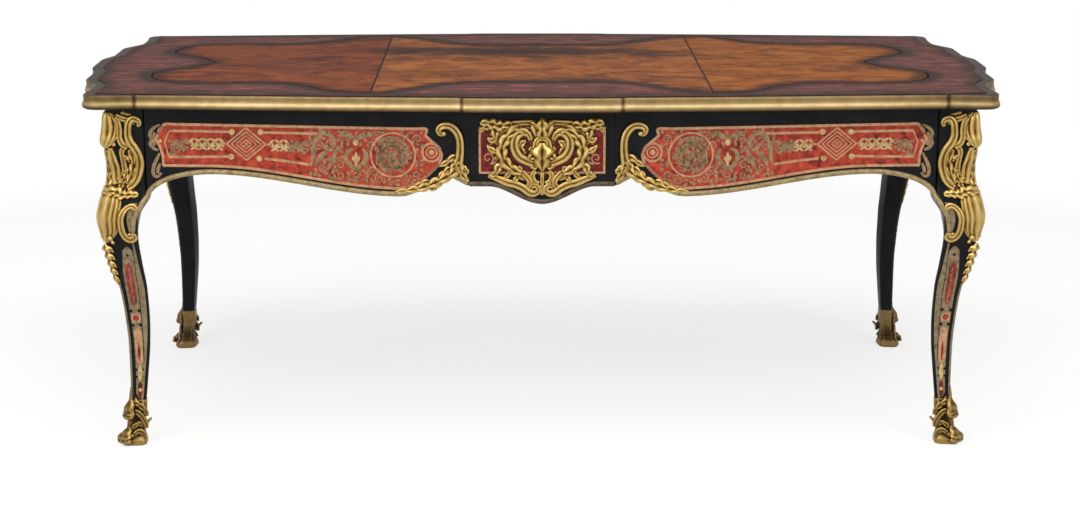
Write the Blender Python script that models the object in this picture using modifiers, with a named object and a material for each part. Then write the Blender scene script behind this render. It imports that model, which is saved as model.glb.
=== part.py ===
# Serpentine centre table: ebonised carcass on four cabriole legs, shell and brass marquetry plaques,
# gilt brass mounts, one frieze drawer with a lock, and a veneered top with a moulded brass edge.
# Metres, +Z up. The origin is on the floor under the middle of the top, and the front faces -Y.

import math

import bmesh
import bpy

# Overall sizes of the top, over its brass edge
LENGTH = 2.000
DEPTH = 1.000
HEIGHT = 0.770
TOP_THICK = 0.032

# Plan of the top: serpentine sides that end in small rounded ears
END_BOW = 0.049
FRONT_BOW = 0.038
EAR = 0.010
END_EAR = 0.004
EAR_RADIUS = 0.035
FULLNESS = 1.3
BREAK = 0.006
BREAK_HALF = 0.150
BREAK_RAMP = 0.030
CORNER_RUN_X = 0.112
CORNER_RUN_Y = 0.084

# Ends of the top: a crown in the middle, a shoulder on each side of it, then a hollow before the ear
END_CROWN = 0.018
END_CROWN_Y = 0.050
END_CROWN_RUN = 0.080
END_SHOULDER_Y = 0.225
END_SHOULDER_RUN = 0.100

# Brass edge moulding and top veneers
MOULDING_WIDTH = 0.028
MOULDING_JOINT_X = 0.165
VENEER = 0.0015
STRINGING = 0.006
SEAM_X = 0.345

# Carcass
OVERHANG = 0.040
END_OVERHANG = 0.034
POST = 0.090
POST_DEPTH = 0.200
APRON_THICK = 0.022
APRON_STEP = 0.012
FOOT_SPLAY = 0.008
LEG_END = 0.012

# Lower edge of the aprons, as drops below the top
ARCH_DROP = 0.141
ARCH_RUN = 0.143
LOBE_DROP = 0.183
LOBE_X = 0.296
NOTCH_DROP = 0.142
NOTCH_X = 0.186
END_ARCH_RUN = 0.120
END_DIP_DROP = 0.173

# Drawer, its runners and its lock
DRAWER_HALF = 0.1515
DRAWER_REVEAL = 0.0015
DRAWER_CORNER_DROP = 0.159
DRAWER_DIP_DROP = 0.196
DRAWER_DIP_HALF = 0.110
DRAWER_FRONT_THICK = 0.020
DRAWER_LENGTH = 0.500
DRAWER_SIDE_THICK = 0.010
DRAWER_SIDE_PLAY = 0.004
DRAWER_SIDE_HEIGHT = 0.088
DRAWER_SIDE_BOTTOM_DROP = 0.126
BOTTOM_THICK = 0.006
BOTTOM_RISE = 0.006
GROOVE = 0.004
RUNNER_THICK = 0.014
RUNNER_BEARING = 0.020
RUNNER_GUIDE = 0.034
GUIDE_HEIGHT = 0.030
RAIL_HEIGHT = 0.025
RAIL_DEPTH = 0.011
LOCK_WIDTH = 0.060
LOCK_WALL = 0.002
LOCK_HEIGHT = 0.050
LOCK_CLEARANCE = 0.003
BOLT_WIDTH = 0.028
BOLT_THICK = 0.006
BOLT_LENGTH = 0.030
BOLT_PLAY = 0.001

# Marquetry plaques
PLAQUE = 0.002
PLAQUE_PROUD = 0.0003
PLAQUE_MARGIN = 0.016
PLAQUE_TOP_DROP = 0.035
PLAQUE_INNER_X = 0.203
PLAQUE_OUTER_RUN = 0.012
PLAQUE_LOBE = 0.045
PLAQUE_POINT = 0.030
BLUNT_POINT = 0.25
BLUNT_LOBE = 0.04
END_PLAQUE_RUN = 0.020
DRAWER_PLAQUE_HALF = 0.131
DRAWER_PLAQUE_DROP = 0.024
DRAWER_PLAQUE_HEIGHT = 0.109

# Clearance between pieces that touch, and the seat of a mount on its wood
GAP = 0.0003
SEAT_GAP = 0.0004

# Derived sizes
CORNER_X = LENGTH / 2 - END_BOW
CORNER_Y = DEPTH / 2 - FRONT_BOW
TOP_Z = HEIGHT - TOP_THICK
SPRING_Z = TOP_Z - POST_DEPTH
POST_X = CORNER_X - END_OVERHANG
POST_Y = CORNER_Y - OVERHANG
INNER_X = POST_X - POST
INNER_Y = POST_Y - POST

# Wood of one leg: height as a share of the clear height under the post, how far its outer and inner
# faces stand out from those of the post, and how far an outer face falls back from the arris
LEG_PROFILE = (
    (0.000, -0.0220, 0.0340, 0.003),
    (0.112, -0.0315, 0.0265, 0.003),
    (0.204, -0.0345, 0.0205, 0.004),
    (0.297, -0.0340, 0.0150, 0.006),
    (0.409, -0.0325, 0.0090, 0.009),
    (0.520, -0.0275, 0.0065, 0.012),
    (0.632, -0.0195, 0.0080, 0.014),
    (0.743, -0.0065, 0.0150, 0.013),
    (0.855, 0.0040, 0.0205, 0.010),
    (0.930, 0.0085, 0.0190, 0.004),
    (1.000, 0.0000, 0.0020, 0.000),
)
# The post above: drop below the top, then the same distances
POST_PROFILE = (
    (0.163, -0.012, 0.000, 0.000),
    (0.128, -0.014, 0.000, 0.000),
    (0.078, -0.007, 0.000, 0.000),
    (0.000, -0.008, 0.000, 0.000),
)
LEG_STATIONS = 15
ARRIS_SHARE = 0.30
INSIDE_CUT = 1.0

# Brass edge section: distance in from the outer edge, and share of the height of the top
EDGE_SECTION = (
    (0.0070, 0.00),
    (0.0012, 0.15),
    (0.0000, 0.33),
    (0.0042, 0.53),
    (0.0062, 0.66),
    (0.0040, 0.78),
    (0.0042, 0.93),
    (0.0080, 1.00),
)

# Field of the top, a quarter of its outline, as shares of the half length and half depth
FIELD_QUARTER = (
    (0.742, 0.000),
    (0.790, 0.110),
    (0.848, 0.300),
    (0.850, 0.420),
    (0.790, 0.510),
    (0.680, 0.500),
    (0.520, 0.520),
    (0.420, 0.580),
    (0.345, 0.620),
    (0.250, 0.600),
    (0.150, 0.565),
    (0.000, 0.580),
)

# Gilt mounts are drawn as strokes of (across, down or up, lift, radius) rows, then laid on the wood.
# Those of the corner mount run down from the top, across from the arris of the leg.
CORNER_MOUNT_PAIRS = (
    ((0.055, 0.040, 0.002, 0.004), (0.060, 0.034, 0.003, 0.006), (0.051, 0.026, 0.003, 0.007),
     (0.041, 0.036, 0.003, 0.008), (0.038, 0.062, 0.004, 0.009), (0.046, 0.086, 0.004, 0.009),
     (0.054, 0.112, 0.004, 0.010), (0.053, 0.138, 0.004, 0.010), (0.045, 0.160, 0.004, 0.010),
     (0.030, 0.168, 0.004, 0.009)),
    ((0.000, 0.020, 0.003, 0.010), (0.022, 0.020, 0.002, 0.008), (0.029, 0.045, 0.004, 0.008),
     (0.023, 0.070, 0.005, 0.008), (0.008, 0.084, 0.004, 0.007)),
    ((0.022, 0.092, 0.001, 0.006), (0.026, 0.110, 0.003, 0.012), (0.027, 0.135, 0.003, 0.013),
     (0.022, 0.158, 0.002, 0.008)),
    ((0.000, 0.174, 0.007, 0.013), (0.024, 0.174, 0.007, 0.012), (0.048, 0.180, 0.004, 0.007)),
    ((0.054, 0.180, 0.003, 0.005), (0.042, 0.192, 0.004, 0.008), (0.033, 0.220, 0.004, 0.009),
     (0.034, 0.250, 0.004, 0.009), (0.045, 0.268, 0.004, 0.008), (0.055, 0.262, 0.003, 0.006),
     (0.050, 0.253, 0.003, 0.004)),
)
CORNER_MOUNT_SPINE = (
    ((0.0, 0.018, 0.003, 0.009), (0.0, 0.045, 0.005, 0.014), (0.0, 0.085, 0.004, 0.010),
     (0.0, 0.130, 0.004, 0.011), (0.0, 0.172, 0.006, 0.015)),
    ((0.0, 0.165, 0.002, 0.016), (0.0, 0.192, 0.002, 0.030), (0.0, 0.222, 0.000, 0.034),
     (0.0, 0.252, 0.000, 0.028), (0.0, 0.280, 0.001, 0.010)),
    ((0.0, 0.275, 0.002, 0.007), (0.0, 0.292, 0.003, 0.012), (0.0, 0.308, 0.002, 0.006),
     (0.0, 0.322, 0.003, 0.011), (0.0, 0.338, 0.002, 0.005), (0.0, 0.352, 0.004, 0.009),
     (0.0, 0.368, 0.003, 0.005), (0.0, 0.382, 0.003, 0.008), (0.0, 0.412, 0.002, 0.002)),
)
MOUNT_FLAT = 0.55
CABOCHON_FLAT = 0.38

# Strokes of the sabot run up from the floor, across from the arris
SABOT_CUFF = ((0.000, 0.009), (0.008, 0.011), (0.020, 0.008), (0.036, 0.004), (0.060, 0.003), (0.074, 0.003))
SABOT_PAIRS = (
    ((0.024, 0.030, 0.001, 0.006), (0.024, 0.056, 0.000, 0.007), (0.023, 0.080, 0.003, 0.009),
     (0.020, 0.100, 0.002, 0.006), (0.017, 0.114, 0.003, 0.003)),
    ((0.000, 0.012, 0.010, 0.012), (0.016, 0.012, 0.008, 0.011), (0.030, 0.014, 0.006, 0.010),
     (0.038, 0.022, 0.004, 0.006)),
)
SABOT_SPINE = (
    ((0.0, 0.004, 0.012, 0.009), (0.0, 0.022, 0.013, 0.011), (0.0, 0.036, 0.005, 0.008),
     (0.0, 0.054, 0.001, 0.007), (0.0, 0.080, 0.008, 0.011), (0.0, 0.104, 0.001, 0.008),
     (0.0, 0.126, 0.003, 0.006), (0.0, 0.140, 0.004, 0.002)),
)

# Strokes of the cartouche run down from the top, across from the middle of the drawer
CARTOUCHE_PAIRS = (
    ((0.024, 0.052, 0.003, 0.005), (0.034, 0.042, 0.005, 0.007), (0.052, 0.040, 0.007, 0.008),
     (0.070, 0.052, 0.007, 0.009), (0.078, 0.076, 0.006, 0.009), (0.072, 0.106, 0.006, 0.009),
     (0.050, 0.128, 0.006, 0.008), (0.026, 0.142, 0.005, 0.007), (0.008, 0.152, 0.004, 0.006)),
    ((0.026, 0.072, 0.004, 0.004), (0.036, 0.063, 0.006, 0.006), (0.050, 0.070, 0.008, 0.007),
     (0.055, 0.090, 0.008, 0.007), (0.045, 0.108, 0.007, 0.007), (0.026, 0.117, 0.006, 0.007),
     (0.006, 0.122, 0.005, 0.006)),
    ((0.062, 0.046, 0.003, 0.007), (0.088, 0.036, 0.004, 0.010), (0.110, 0.026, 0.004, 0.009),
     (0.125, 0.030, 0.003, 0.004)),
    ((0.074, 0.076, 0.003, 0.008), (0.092, 0.084, 0.004, 0.009), (0.106, 0.084, 0.004, 0.006),
     (0.113, 0.077, 0.003, 0.003)),
    ((0.006, 0.026, 0.003, 0.006), (0.040, 0.024, 0.003, 0.005), (0.070, 0.025, 0.003, 0.005),
     (0.100, 0.028, 0.003, 0.006)),
    ((0.062, 0.112, 0.003, 0.008), (0.080, 0.126, 0.004, 0.009), (0.090, 0.140, 0.004, 0.008),
     (0.088, 0.150, 0.003, 0.004)),
    ((0.118, 0.140, 0.002, 0.004), (0.090, 0.145, 0.003, 0.007), (0.062, 0.158, 0.003, 0.008),
     (0.036, 0.174, 0.003, 0.008), (0.014, 0.184, 0.003, 0.006)),
    ((0.004, 0.178, 0.003, 0.006), (0.014, 0.183, 0.005, 0.007), (0.025, 0.178, 0.005, 0.007),
     (0.024, 0.166, 0.004, 0.006), (0.012, 0.158, 0.004, 0.006), (0.004, 0.140, 0.004, 0.006)),
    ((0.004, 0.050, 0.004, 0.008), (0.014, 0.034, 0.005, 0.008), (0.022, 0.022, 0.004, 0.004)),
    ((0.004, 0.062, 0.005, 0.005), (0.014, 0.070, 0.006, 0.006), (0.014, 0.084, 0.006, 0.006),
     (0.004, 0.093, 0.005, 0.006)),
)
CARTOUCHE_SPINE = (
    ((0.0, 0.060, 0.004, 0.009), (0.0, 0.040, 0.006, 0.011), (0.0, 0.024, 0.006, 0.009), (0.0, 0.014, 0.004, 0.004)),
    ((0.0, 0.088, 0.004, 0.010), (0.0, 0.106, 0.006, 0.020), (0.0, 0.124, 0.005, 0.016),
     (0.0, 0.140, 0.004, 0.008), (0.0, 0.178, 0.003, 0.005)),
)

# Strokes of the scroll beside the drawer run down from the top, across from the middle
SCROLL = (
    ((0.196, 0.055, 0.002, 0.004), (0.203, 0.049, 0.003, 0.006), (0.199, 0.038, 0.004, 0.007),
     (0.186, 0.035, 0.004, 0.008), (0.174, 0.046, 0.004, 0.008), (0.168, 0.074, 0.004, 0.007),
     (0.169, 0.104, 0.004, 0.008), (0.172, 0.134, 0.004, 0.010)),
    ((0.174, 0.126, 0.003, 0.008), (0.166, 0.142, 0.003, 0.007), (0.160, 0.150, 0.002, 0.005)),
    ((0.172, 0.130, 0.003, 0.009), (0.194, 0.146, 0.003, 0.008), (0.216, 0.164, 0.003, 0.007),
     (0.240, 0.174, 0.002, 0.006), (0.262, 0.178, 0.002, 0.003)),
    ((0.172, 0.124, 0.003, 0.008), (0.190, 0.121, 0.003, 0.006), (0.205, 0.123, 0.002, 0.003)),
)
SABOT_SOLE = 0.004
MOUNT_VOXEL = 0.003
CORNER_MOUNT_FACES = 300
SABOT_FACES = 180
CARTOUCHE_FACES = 430
SCROLL_FACES = 120

FINISHES = {
    "gilt_brass": ((0.62, 0.43, 0.16), 0.34, 1.0),
    "ebonised_wood": ((0.010, 0.009, 0.010), 0.28, 0.0),
    "shell_marquetry": ((0.42, 0.035, 0.022), 0.30, 0.0),
    "burr_veneer": ((0.34, 0.13, 0.035), 0.32, 0.0),
    "border_veneer": ((0.085, 0.026, 0.022), 0.32, 0.0),
    "dark_stringing": ((0.012, 0.010, 0.010), 0.35, 0.0),
    "oak": ((0.32, 0.19, 0.09), 0.60, 0.0),
    "steel": ((0.36, 0.36, 0.37), 0.40, 1.0),
}


def clear_scene():
    for item in list(bpy.data.objects):
        bpy.data.objects.remove(item, do_unlink=True)


def new_collection(name):
    group = bpy.data.collections.new(name)
    bpy.context.scene.collection.children.link(group)
    return group


def finish(name):
    material = bpy.data.materials.get(name)
    if material is None:
        colour, roughness, metallic = FINISHES[name]
        material = bpy.data.materials.new(name)
        material.use_nodes = True
        shader = material.node_tree.nodes["Principled BSDF"]
        shader.inputs["Base Color"].default_value = (*colour, 1.0)
        shader.inputs["Roughness"].default_value = roughness
        shader.inputs["Metallic"].default_value = metallic
    return material


def add_object(name, mesh, group, material):
    item = bpy.data.objects.new(name, mesh)
    mesh.materials.clear()
    mesh.materials.append(finish(material))
    group.objects.link(item)
    return item


def closed_mesh(name, points, faces):
    # Mesh from points and faces, with doubles merged and every face turned outwards
    mesh = bpy.data.meshes.new(name)
    mesh.from_pydata(points, [], faces)
    shape = bmesh.new()
    shape.from_mesh(mesh)
    bmesh.ops.remove_doubles(shape, verts=shape.verts, dist=1e-6)
    bmesh.ops.recalc_face_normals(shape, faces=shape.faces)
    shape.to_mesh(mesh)
    shape.free()
    return mesh


def loft(name, rings, split=False):
    # Closed skin through rings of equal count, capped at both ends; split gives twisted sides one fixed
    # diagonal, so that skins one inside the other stay apart
    count = len(rings[0])
    points = [point for ring in rings for point in ring]
    faces = [tuple(range(count)), tuple(range(len(points) - count, len(points)))]
    for row in range(len(rings) - 1):
        for k in range(count):
            a = row * count + k
            b = row * count + (k + 1) % count
            if split:
                faces += [(a, b, b + count), (a, b + count, a + count)]
            else:
                faces.append((a, b, b + count, a + count))
    return closed_mesh(name, points, faces)


def box(name, low, high):
    rings = []
    for z in (low[2], high[2]):
        rings.append([(low[0], low[1], z), (high[0], low[1], z), (high[0], high[1], z), (low[0], high[1], z)])
    return loft(name, rings)


def plate(name, outlines, low, high):
    # Flat piece between two heights; outlines after the first are holes
    curve = bpy.data.curves.new(name, "CURVE")
    curve.dimensions = "2D"
    curve.fill_mode = "BOTH"
    curve.extrude = (high - low) / 2
    for outline in outlines:
        spline = curve.splines.new("POLY")
        spline.points.add(len(outline) - 1)
        for point, (x, y) in zip(spline.points, outline):
            point.co = (x, y, 0.0, 1.0)
        spline.use_cyclic_u = True
    return weld(curve, (low + high) / 2)


def weld(curve, height):
    # Mesh of a filled curve, lifted to its height, with its loose caps joined on
    item = bpy.data.objects.new(curve.name, curve)
    bpy.context.scene.collection.objects.link(item)
    graph = bpy.context.evaluated_depsgraph_get()
    mesh = bpy.data.meshes.new_from_object(item.evaluated_get(graph))
    bpy.data.objects.remove(item, do_unlink=True)
    bpy.data.curves.remove(curve)
    shape = bmesh.new()
    shape.from_mesh(mesh)
    bmesh.ops.remove_doubles(shape, verts=shape.verts, dist=1e-6)
    bmesh.ops.translate(shape, verts=shape.verts, vec=(0, 0, height))
    bmesh.ops.recalc_face_normals(shape, faces=shape.faces)
    shape.to_mesh(mesh)
    shape.free()
    return mesh


def mirrored(mesh, name, sx, sy):
    # Copy of a mesh reflected across the middle of the table
    copy = mesh.copy()
    copy.name = name
    shape = bmesh.new()
    shape.from_mesh(copy)
    bmesh.ops.scale(shape, verts=shape.verts, vec=(sx, sy, 1))
    if sx * sy < 0:
        bmesh.ops.reverse_faces(shape, faces=shape.faces)
    shape.to_mesh(copy)
    shape.free()
    return copy


def baked(item):
    # Mesh of an object with its modifiers worked out; the object itself is removed
    graph = bpy.context.evaluated_depsgraph_get()
    mesh = bpy.data.meshes.new_from_object(item.evaluated_get(graph))
    bpy.data.objects.remove(item, do_unlink=True)
    return mesh


def cut(item, mesh, group):
    # Boolean cut of a part by a closed mesh, which stays as a wire cutter
    cutter = bpy.data.objects.new("cutter_" + mesh.name, mesh)
    cutter.hide_render = True
    cutter.display_type = "WIRE"
    group.objects.link(cutter)
    modifier = item.modifiers.new("cut_" + mesh.name, "BOOLEAN")
    modifier.operation = "DIFFERENCE"
    modifier.object = cutter
    return item


def ease(share):
    share = min(1.0, max(0.0, share))
    return share * share * (3 - 2 * share)


def swell(share):
    # Serpentine bow: 1 in the middle, 0 with no slope at the corner
    return math.cos(math.pi / 2 * min(1.0, abs(share))) ** FULLNESS


def spread(start, stop, count):
    return [start + (stop - start) * k / (count - 1) for k in range(count)]


def follow(keys, place):
    # Smooth curve through key rows (place, values...) that never overshoots them
    spans = []
    for (a, b) in zip(keys, keys[1:]):
        spans.append([(vb - va) / (b[0] - a[0]) for va, vb in zip(a[1:], b[1:])])
    row = 0
    while row < len(spans) - 1 and place > keys[row + 1][0]:
        row += 1
    width = keys[row + 1][0] - keys[row][0]
    share = min(1.0, max(0.0, (place - keys[row][0]) / width))
    values = []
    for column, slope in enumerate(spans[row]):
        before = spans[row - 1][column] if row > 0 else slope
        after = spans[row + 1][column] if row + 1 < len(spans) else slope
        start = 0.0 if before * slope <= 0 else 2 * before * slope / (before + slope)
        stop = 0.0 if after * slope <= 0 else 2 * after * slope / (after + slope)
        value = keys[row][column + 1]
        rise = slope * width * ease(share)
        lean = start * width * share * (1 - share) ** 2 - stop * width * share ** 2 * (1 - share)
        values.append(value + rise + lean)
    return values


def break_forward(x):
    return BREAK * (1 - ease((abs(x) - BREAK_HALF) / BREAK_RAMP))


def ear(place, corner, run):
    # Share of an ear that is reached near a corner
    return ease((abs(place) - corner + run) / (run - EAR_RADIUS))


def top_front(x):
    # How far the edge of the top reaches to the front at x
    base = CORNER_Y - EAR
    bow = DEPTH / 2 - BREAK - base
    out = base + bow * swell(x / (CORNER_X - EAR_RADIUS)) + break_forward(x)
    return out + EAR * ear(x, CORNER_X, CORNER_RUN_X)


def top_end(y):
    base = CORNER_X - END_EAR
    shoulder = LENGTH / 2 - END_CROWN - base
    out = base + shoulder * (1 - ease((abs(y) - END_SHOULDER_Y) / END_SHOULDER_RUN))
    out += END_CROWN * (1 - ease((abs(y) - END_CROWN_Y) / END_CROWN_RUN))
    return out + END_EAR * ear(y, CORNER_Y, CORNER_RUN_Y)


def front_station(x):
    return lambda inset: (x, inset - top_front(x))


def end_station(y):
    return lambda inset: (top_end(y) - inset, y)


def ear_station(angle):
    x = CORNER_X - EAR_RADIUS
    y = EAR_RADIUS - CORNER_Y
    return lambda inset: (
        x + (EAR_RADIUS - inset) * math.cos(angle),
        y + (EAR_RADIUS - inset) * math.sin(angle),
    )


def corner_run(joint_x, joint_y, steps):
    # Stations of the front right corner, from a joint on the front round the ear to one on the end
    stations = [front_station(x) for x in spread(joint_x, CORNER_X - EAR_RADIUS, steps)]
    turn = spread(-math.pi / 2, 0.0, steps + 1)[1:]
    stations += [ear_station(angle) for angle in turn]
    stations += [end_station(y) for y in spread(EAR_RADIUS - CORNER_Y, -joint_y, steps)[1:]]
    return stations


def side_run(gap):
    # Places along the front from the middle joint to the corner joint
    places = break_stations(MOULDING_JOINT_X + gap, BREAK_HALF + BREAK_RAMP)
    return places + spread(BREAK_HALF + BREAK_RAMP, CORNER_X - CORNER_RUN_X - gap, 9)[1:]


def end_run(gap):
    # Places along an end between its corner joints
    crown = spread(END_CROWN_Y, END_CROWN_Y + END_CROWN_RUN, 4)
    shoulder = spread(END_SHOULDER_Y, END_SHOULDER_Y + END_SHOULDER_RUN, 5)
    half = [0.0] + crown + shoulder + [CORNER_Y - CORNER_RUN_Y - gap]
    return [-y for y in reversed(half[1:])] + half


def top_outline(inset):
    # Closed outline of the top at a distance in from its edge, front right quarter mirrored round
    quarter = [front_station(x) for x in break_stations(0.0, MOULDING_JOINT_X)[:-1]]
    quarter += [front_station(x) for x in side_run(0.0)[:-1]]
    quarter += corner_run(CORNER_X - CORNER_RUN_X, CORNER_Y - CORNER_RUN_Y, 3)
    quarter += [end_station(y) for y in end_run(0.0)[1:] if y <= 0]
    points = [station(inset) for station in quarter]
    return mirror_round(points)


def mirror_round(points):
    # Closed loop from a quarter that runs from the front middle to the end middle
    right = points + [(x, -y) for x, y in reversed(points[:-1])]
    return right + [(-x, y) for x, y in reversed(right[1:-1])]


def break_stations(start, stop):
    # Places across the middle of the front, closer together where it breaks forward
    ramp = [BREAK_HALF + BREAK_RAMP * share for share in (0.0, 0.25, 0.5, 0.75, 1.0)]
    places = [start, start + (BREAK_HALF - start) / 2] + ramp + [stop]
    return sorted(place for place in set(places) if start <= place <= stop)


def edge_ring(station, sx, sy):
    ring = []
    for inset, share in ((MOULDING_WIDTH, 0.0), *EDGE_SECTION, (MOULDING_WIDTH, 1.0)):
        x, y = station(inset)
        ring.append((sx * x, sy * y, TOP_Z + share * TOP_THICK))
    return ring


def edge_piece(name, stations, sx=1, sy=1):
    mesh = loft(name, [edge_ring(station, sx, sy) for station in stations])
    return add_object(name, mesh, parts, "gilt_brass")


def make_edge_mouldings():
    half = GAP / 2
    middle = break_stations(0.0, MOULDING_JOINT_X - half)
    middle = [-x for x in reversed(middle[1:])] + middle
    side = side_run(half)
    ends = end_run(half)
    corner = corner_run(CORNER_X - CORNER_RUN_X + half, CORNER_Y - CORNER_RUN_Y + half, 3)
    for row, sy in (("front", 1), ("back", -1)):
        edge_piece("edge_moulding_" + row + "_centre", [front_station(x) for x in middle], 1, sy)
        for hand, sx in (("left", -1), ("right", 1)):
            edge_piece("edge_moulding_" + row + "_" + hand, [front_station(x) for x in side], sx, sy)
            edge_piece("edge_corner_" + row + "_" + hand, corner, sx, sy)
    for hand, sx in (("left", -1), ("right", 1)):
        edge_piece("edge_moulding_end_" + hand, [end_station(y) for y in ends], sx)


def grown(outline, distance):
    # Closed counter-clockwise outline moved outwards along its mitred normals
    points = []
    count = len(outline)
    for k in range(count):
        x, y = outline[k]
        before = outline[k - 1]
        after = outline[(k + 1) % count]
        first = math.atan2(y - before[1], x - before[0])
        second = math.atan2(after[1] - y, after[0] - x)
        turn = (second - first + math.pi) % (2 * math.pi) - math.pi
        aim = first + turn / 2 - math.pi / 2
        reach = distance / max(0.4, math.cos(turn / 2))
        points.append((x + reach * math.cos(aim), y + reach * math.sin(aim)))
    return points


def field_outline():
    # Brace-ended field of the top, smooth between its cusps at the middle of each end
    keys = [(k, x * LENGTH / 2, y * DEPTH / 2) for k, (x, y) in enumerate(FIELD_QUARTER)]
    places = spread(0.0, len(keys) - 1, len(keys) + 4)
    quarter = [tuple(follow(keys, place)) for place in places]
    right = [(x, -y) for x, y in reversed(quarter[1:])] + quarter
    return right[:-1] + [(-x, -y) for x, y in right[:-1]]


def between(outline, low, high):
    # Part of an outline that lies between two lengthwise places
    for limit, side in ((low, 1), (high, -1)):
        kept = []
        for k, point in enumerate(outline):
            before = outline[k - 1]
            inside = side * (point[0] - limit) >= 0
            was_inside = side * (before[0] - limit) >= 0
            if inside != was_inside:
                share = (limit - before[0]) / (point[0] - before[0])
                kept.append((limit, before[1] + share * (point[1] - before[1])))
            if inside:
                kept.append(point)
        outline = kept
    return outline


def make_top():
    core = plate("top_core", [top_outline(MOULDING_WIDTH + GAP)], TOP_Z, HEIGHT - VENEER - GAP)
    add_object("top_core", core, parts, "oak")
    field = field_outline()
    low = HEIGHT - VENEER
    border = [top_outline(MOULDING_WIDTH + GAP), grown(field, STRINGING + 2 * GAP)]
    add_object("top_border_veneer", plate("top_border_veneer", border, low, HEIGHT), parts, "border_veneer")
    line = [grown(field, STRINGING + GAP), grown(field, GAP)]
    add_object("top_stringing", plate("top_stringing", line, low, HEIGHT), parts, "dark_stringing")
    seam = GAP / 2
    leaves = (
        ("left", -LENGTH, -SEAM_X - seam),
        ("centre", -SEAM_X + seam, SEAM_X - seam),
        ("right", SEAM_X + seam, LENGTH),
    )
    for hand, start, stop in leaves:
        name = "top_field_" + hand
        add_object(name, plate(name, [between(field, start, stop)], low, HEIGHT), parts, "burr_veneer")


def leg_keys():
    low = [(share * SPRING_Z, *rest) for share, *rest in LEG_PROFILE]
    return low + [(TOP_Z - drop, *rest) for drop, *rest in POST_PROFILE]


def leg_stations():
    heights = spread(LEG_END, SPRING_Z, LEG_STATIONS - 5)
    heights += spread(SPRING_Z, TOP_Z - GAP, 6)[1:]
    keys = leg_keys()
    return [(z, *follow(keys, z)) for z in heights]


def leg_at(z):
    # Centre, half width and cant of the leg at a height, straight between its stations
    rows = leg_rows
    k = 0
    while k < len(rows) - 2 and z > rows[k + 1][0]:
        k += 1
    share = min(1.0, max(0.0, (z - rows[k][0]) / (rows[k + 1][0] - rows[k][0])))
    outer, inner, cant = [a + share * (b - a) for a, b in zip(rows[k][1:], rows[k + 1][1:])]
    half = (POST + outer - inner) / 2
    x = POST_X + outer - half
    splay = FOOT_SPLAY * max(0.0, 1 - z / SPRING_Z) ** 2
    y = half - POST_Y - outer - splay
    return x, y, half, cant


def leg_corners(z):
    # Rounded corners of the section of the front right leg, which narrows behind its arris: centre,
    # radius, first angle and turn of each, from the inner edge of its end face round to the arris
    x, y, half, cant = leg_at(z)
    radius = ARRIS_SHARE * half
    inside = INSIDE_CUT * cant
    points = (
        (x + half - cant, y + half),
        (x - half + inside, y + half - inside),
        (x - half, y - half + cant),
        (x + half, y - half),
    )
    corners = []
    for k, (px, py) in enumerate(points):
        before = points[k - 1]
        after = points[(k + 1) % 4]
        first = math.atan2(py - before[1], px - before[0]) - math.pi / 2
        second = math.atan2(after[1] - py, after[0] - px) - math.pi / 2
        turn = (second - first) % (2 * math.pi)
        reach = radius / math.cos(turn / 2)
        aim = first + turn / 2
        corners.append((px - reach * math.cos(aim), py - reach * math.sin(aim), radius, first, turn))
    return corners


def leg_ring(z, grow=0.0):
    ring = []
    for x, y, radius, first, turn in leg_corners(z):
        for share in (0.0, 0.5, 1.0):
            angle = first + share * turn
            ring.append((x + (radius + grow) * math.cos(angle), y + (radius + grow) * math.sin(angle), z))
    return ring


def leg_skin(name, grow=0.0, lowest=None):
    rings = [leg_ring(row[0], grow) for row in leg_rows]
    if lowest is not None:
        rings[0] = [(x, y, lowest) for x, y, z in rings[0]]
    return loft(name, rings, True)


def make_legs():
    master = leg_skin("leg")
    for name, sx, sy in CORNERS:
        add_object("leg_" + name, mirrored(master, "leg_" + name, sx, sy), parts, "ebonised_wood")


def frieze_front(x):
    # How far the face of the front apron stands out at x
    base = POST_Y - APRON_STEP
    bow = DEPTH / 2 - OVERHANG - BREAK - base
    return base + bow * swell(x / INNER_X) + break_forward(x)


def frieze_end(y):
    base = POST_X - APRON_STEP
    bow = LENGTH / 2 - OVERHANG - base
    return base + bow * swell(y / INNER_Y)


def apron_low(x):
    # Lower edge of the front and back aprons
    x = abs(x)
    arch_x = INNER_X - ARCH_RUN
    if x > arch_x:
        share = min(1.0, (x - arch_x) / ARCH_RUN)
        drop = POST_DEPTH - (POST_DEPTH - ARCH_DROP) * math.sqrt(1 - share ** 2)
    elif x > LOBE_X:
        drop = LOBE_DROP - (LOBE_DROP - ARCH_DROP) * ease((x - LOBE_X) / (arch_x - LOBE_X))
    elif x > NOTCH_X:
        drop = LOBE_DROP - (LOBE_DROP - NOTCH_DROP) * ease((LOBE_X - x) / (LOBE_X - NOTCH_X))
    elif x > DRAWER_HALF:
        share = (x - DRAWER_HALF) / (NOTCH_X - DRAWER_HALF)
        drop = DRAWER_CORNER_DROP - (DRAWER_CORNER_DROP - NOTCH_DROP) * share
    else:
        dip = 1 - ease(x / DRAWER_DIP_HALF)
        drop = DRAWER_CORNER_DROP + (DRAWER_DIP_DROP - DRAWER_CORNER_DROP) * dip
    return TOP_Z - drop


def end_low(y):
    # Lower edge of the end aprons
    y = abs(y)
    arch_y = INNER_Y - END_ARCH_RUN
    if y > arch_y:
        share = min(1.0, (y - arch_y) / END_ARCH_RUN)
        drop = POST_DEPTH - (POST_DEPTH - ARCH_DROP) * math.sqrt(1 - share ** 2)
    else:
        drop = END_DIP_DROP - (END_DIP_DROP - ARCH_DROP) * ease(y / arch_y)
    return TOP_Z - drop


def front_face(x, depth):
    return x, depth - frieze_front(x)


def end_face(y, depth):
    return frieze_end(y) - depth, y


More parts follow.
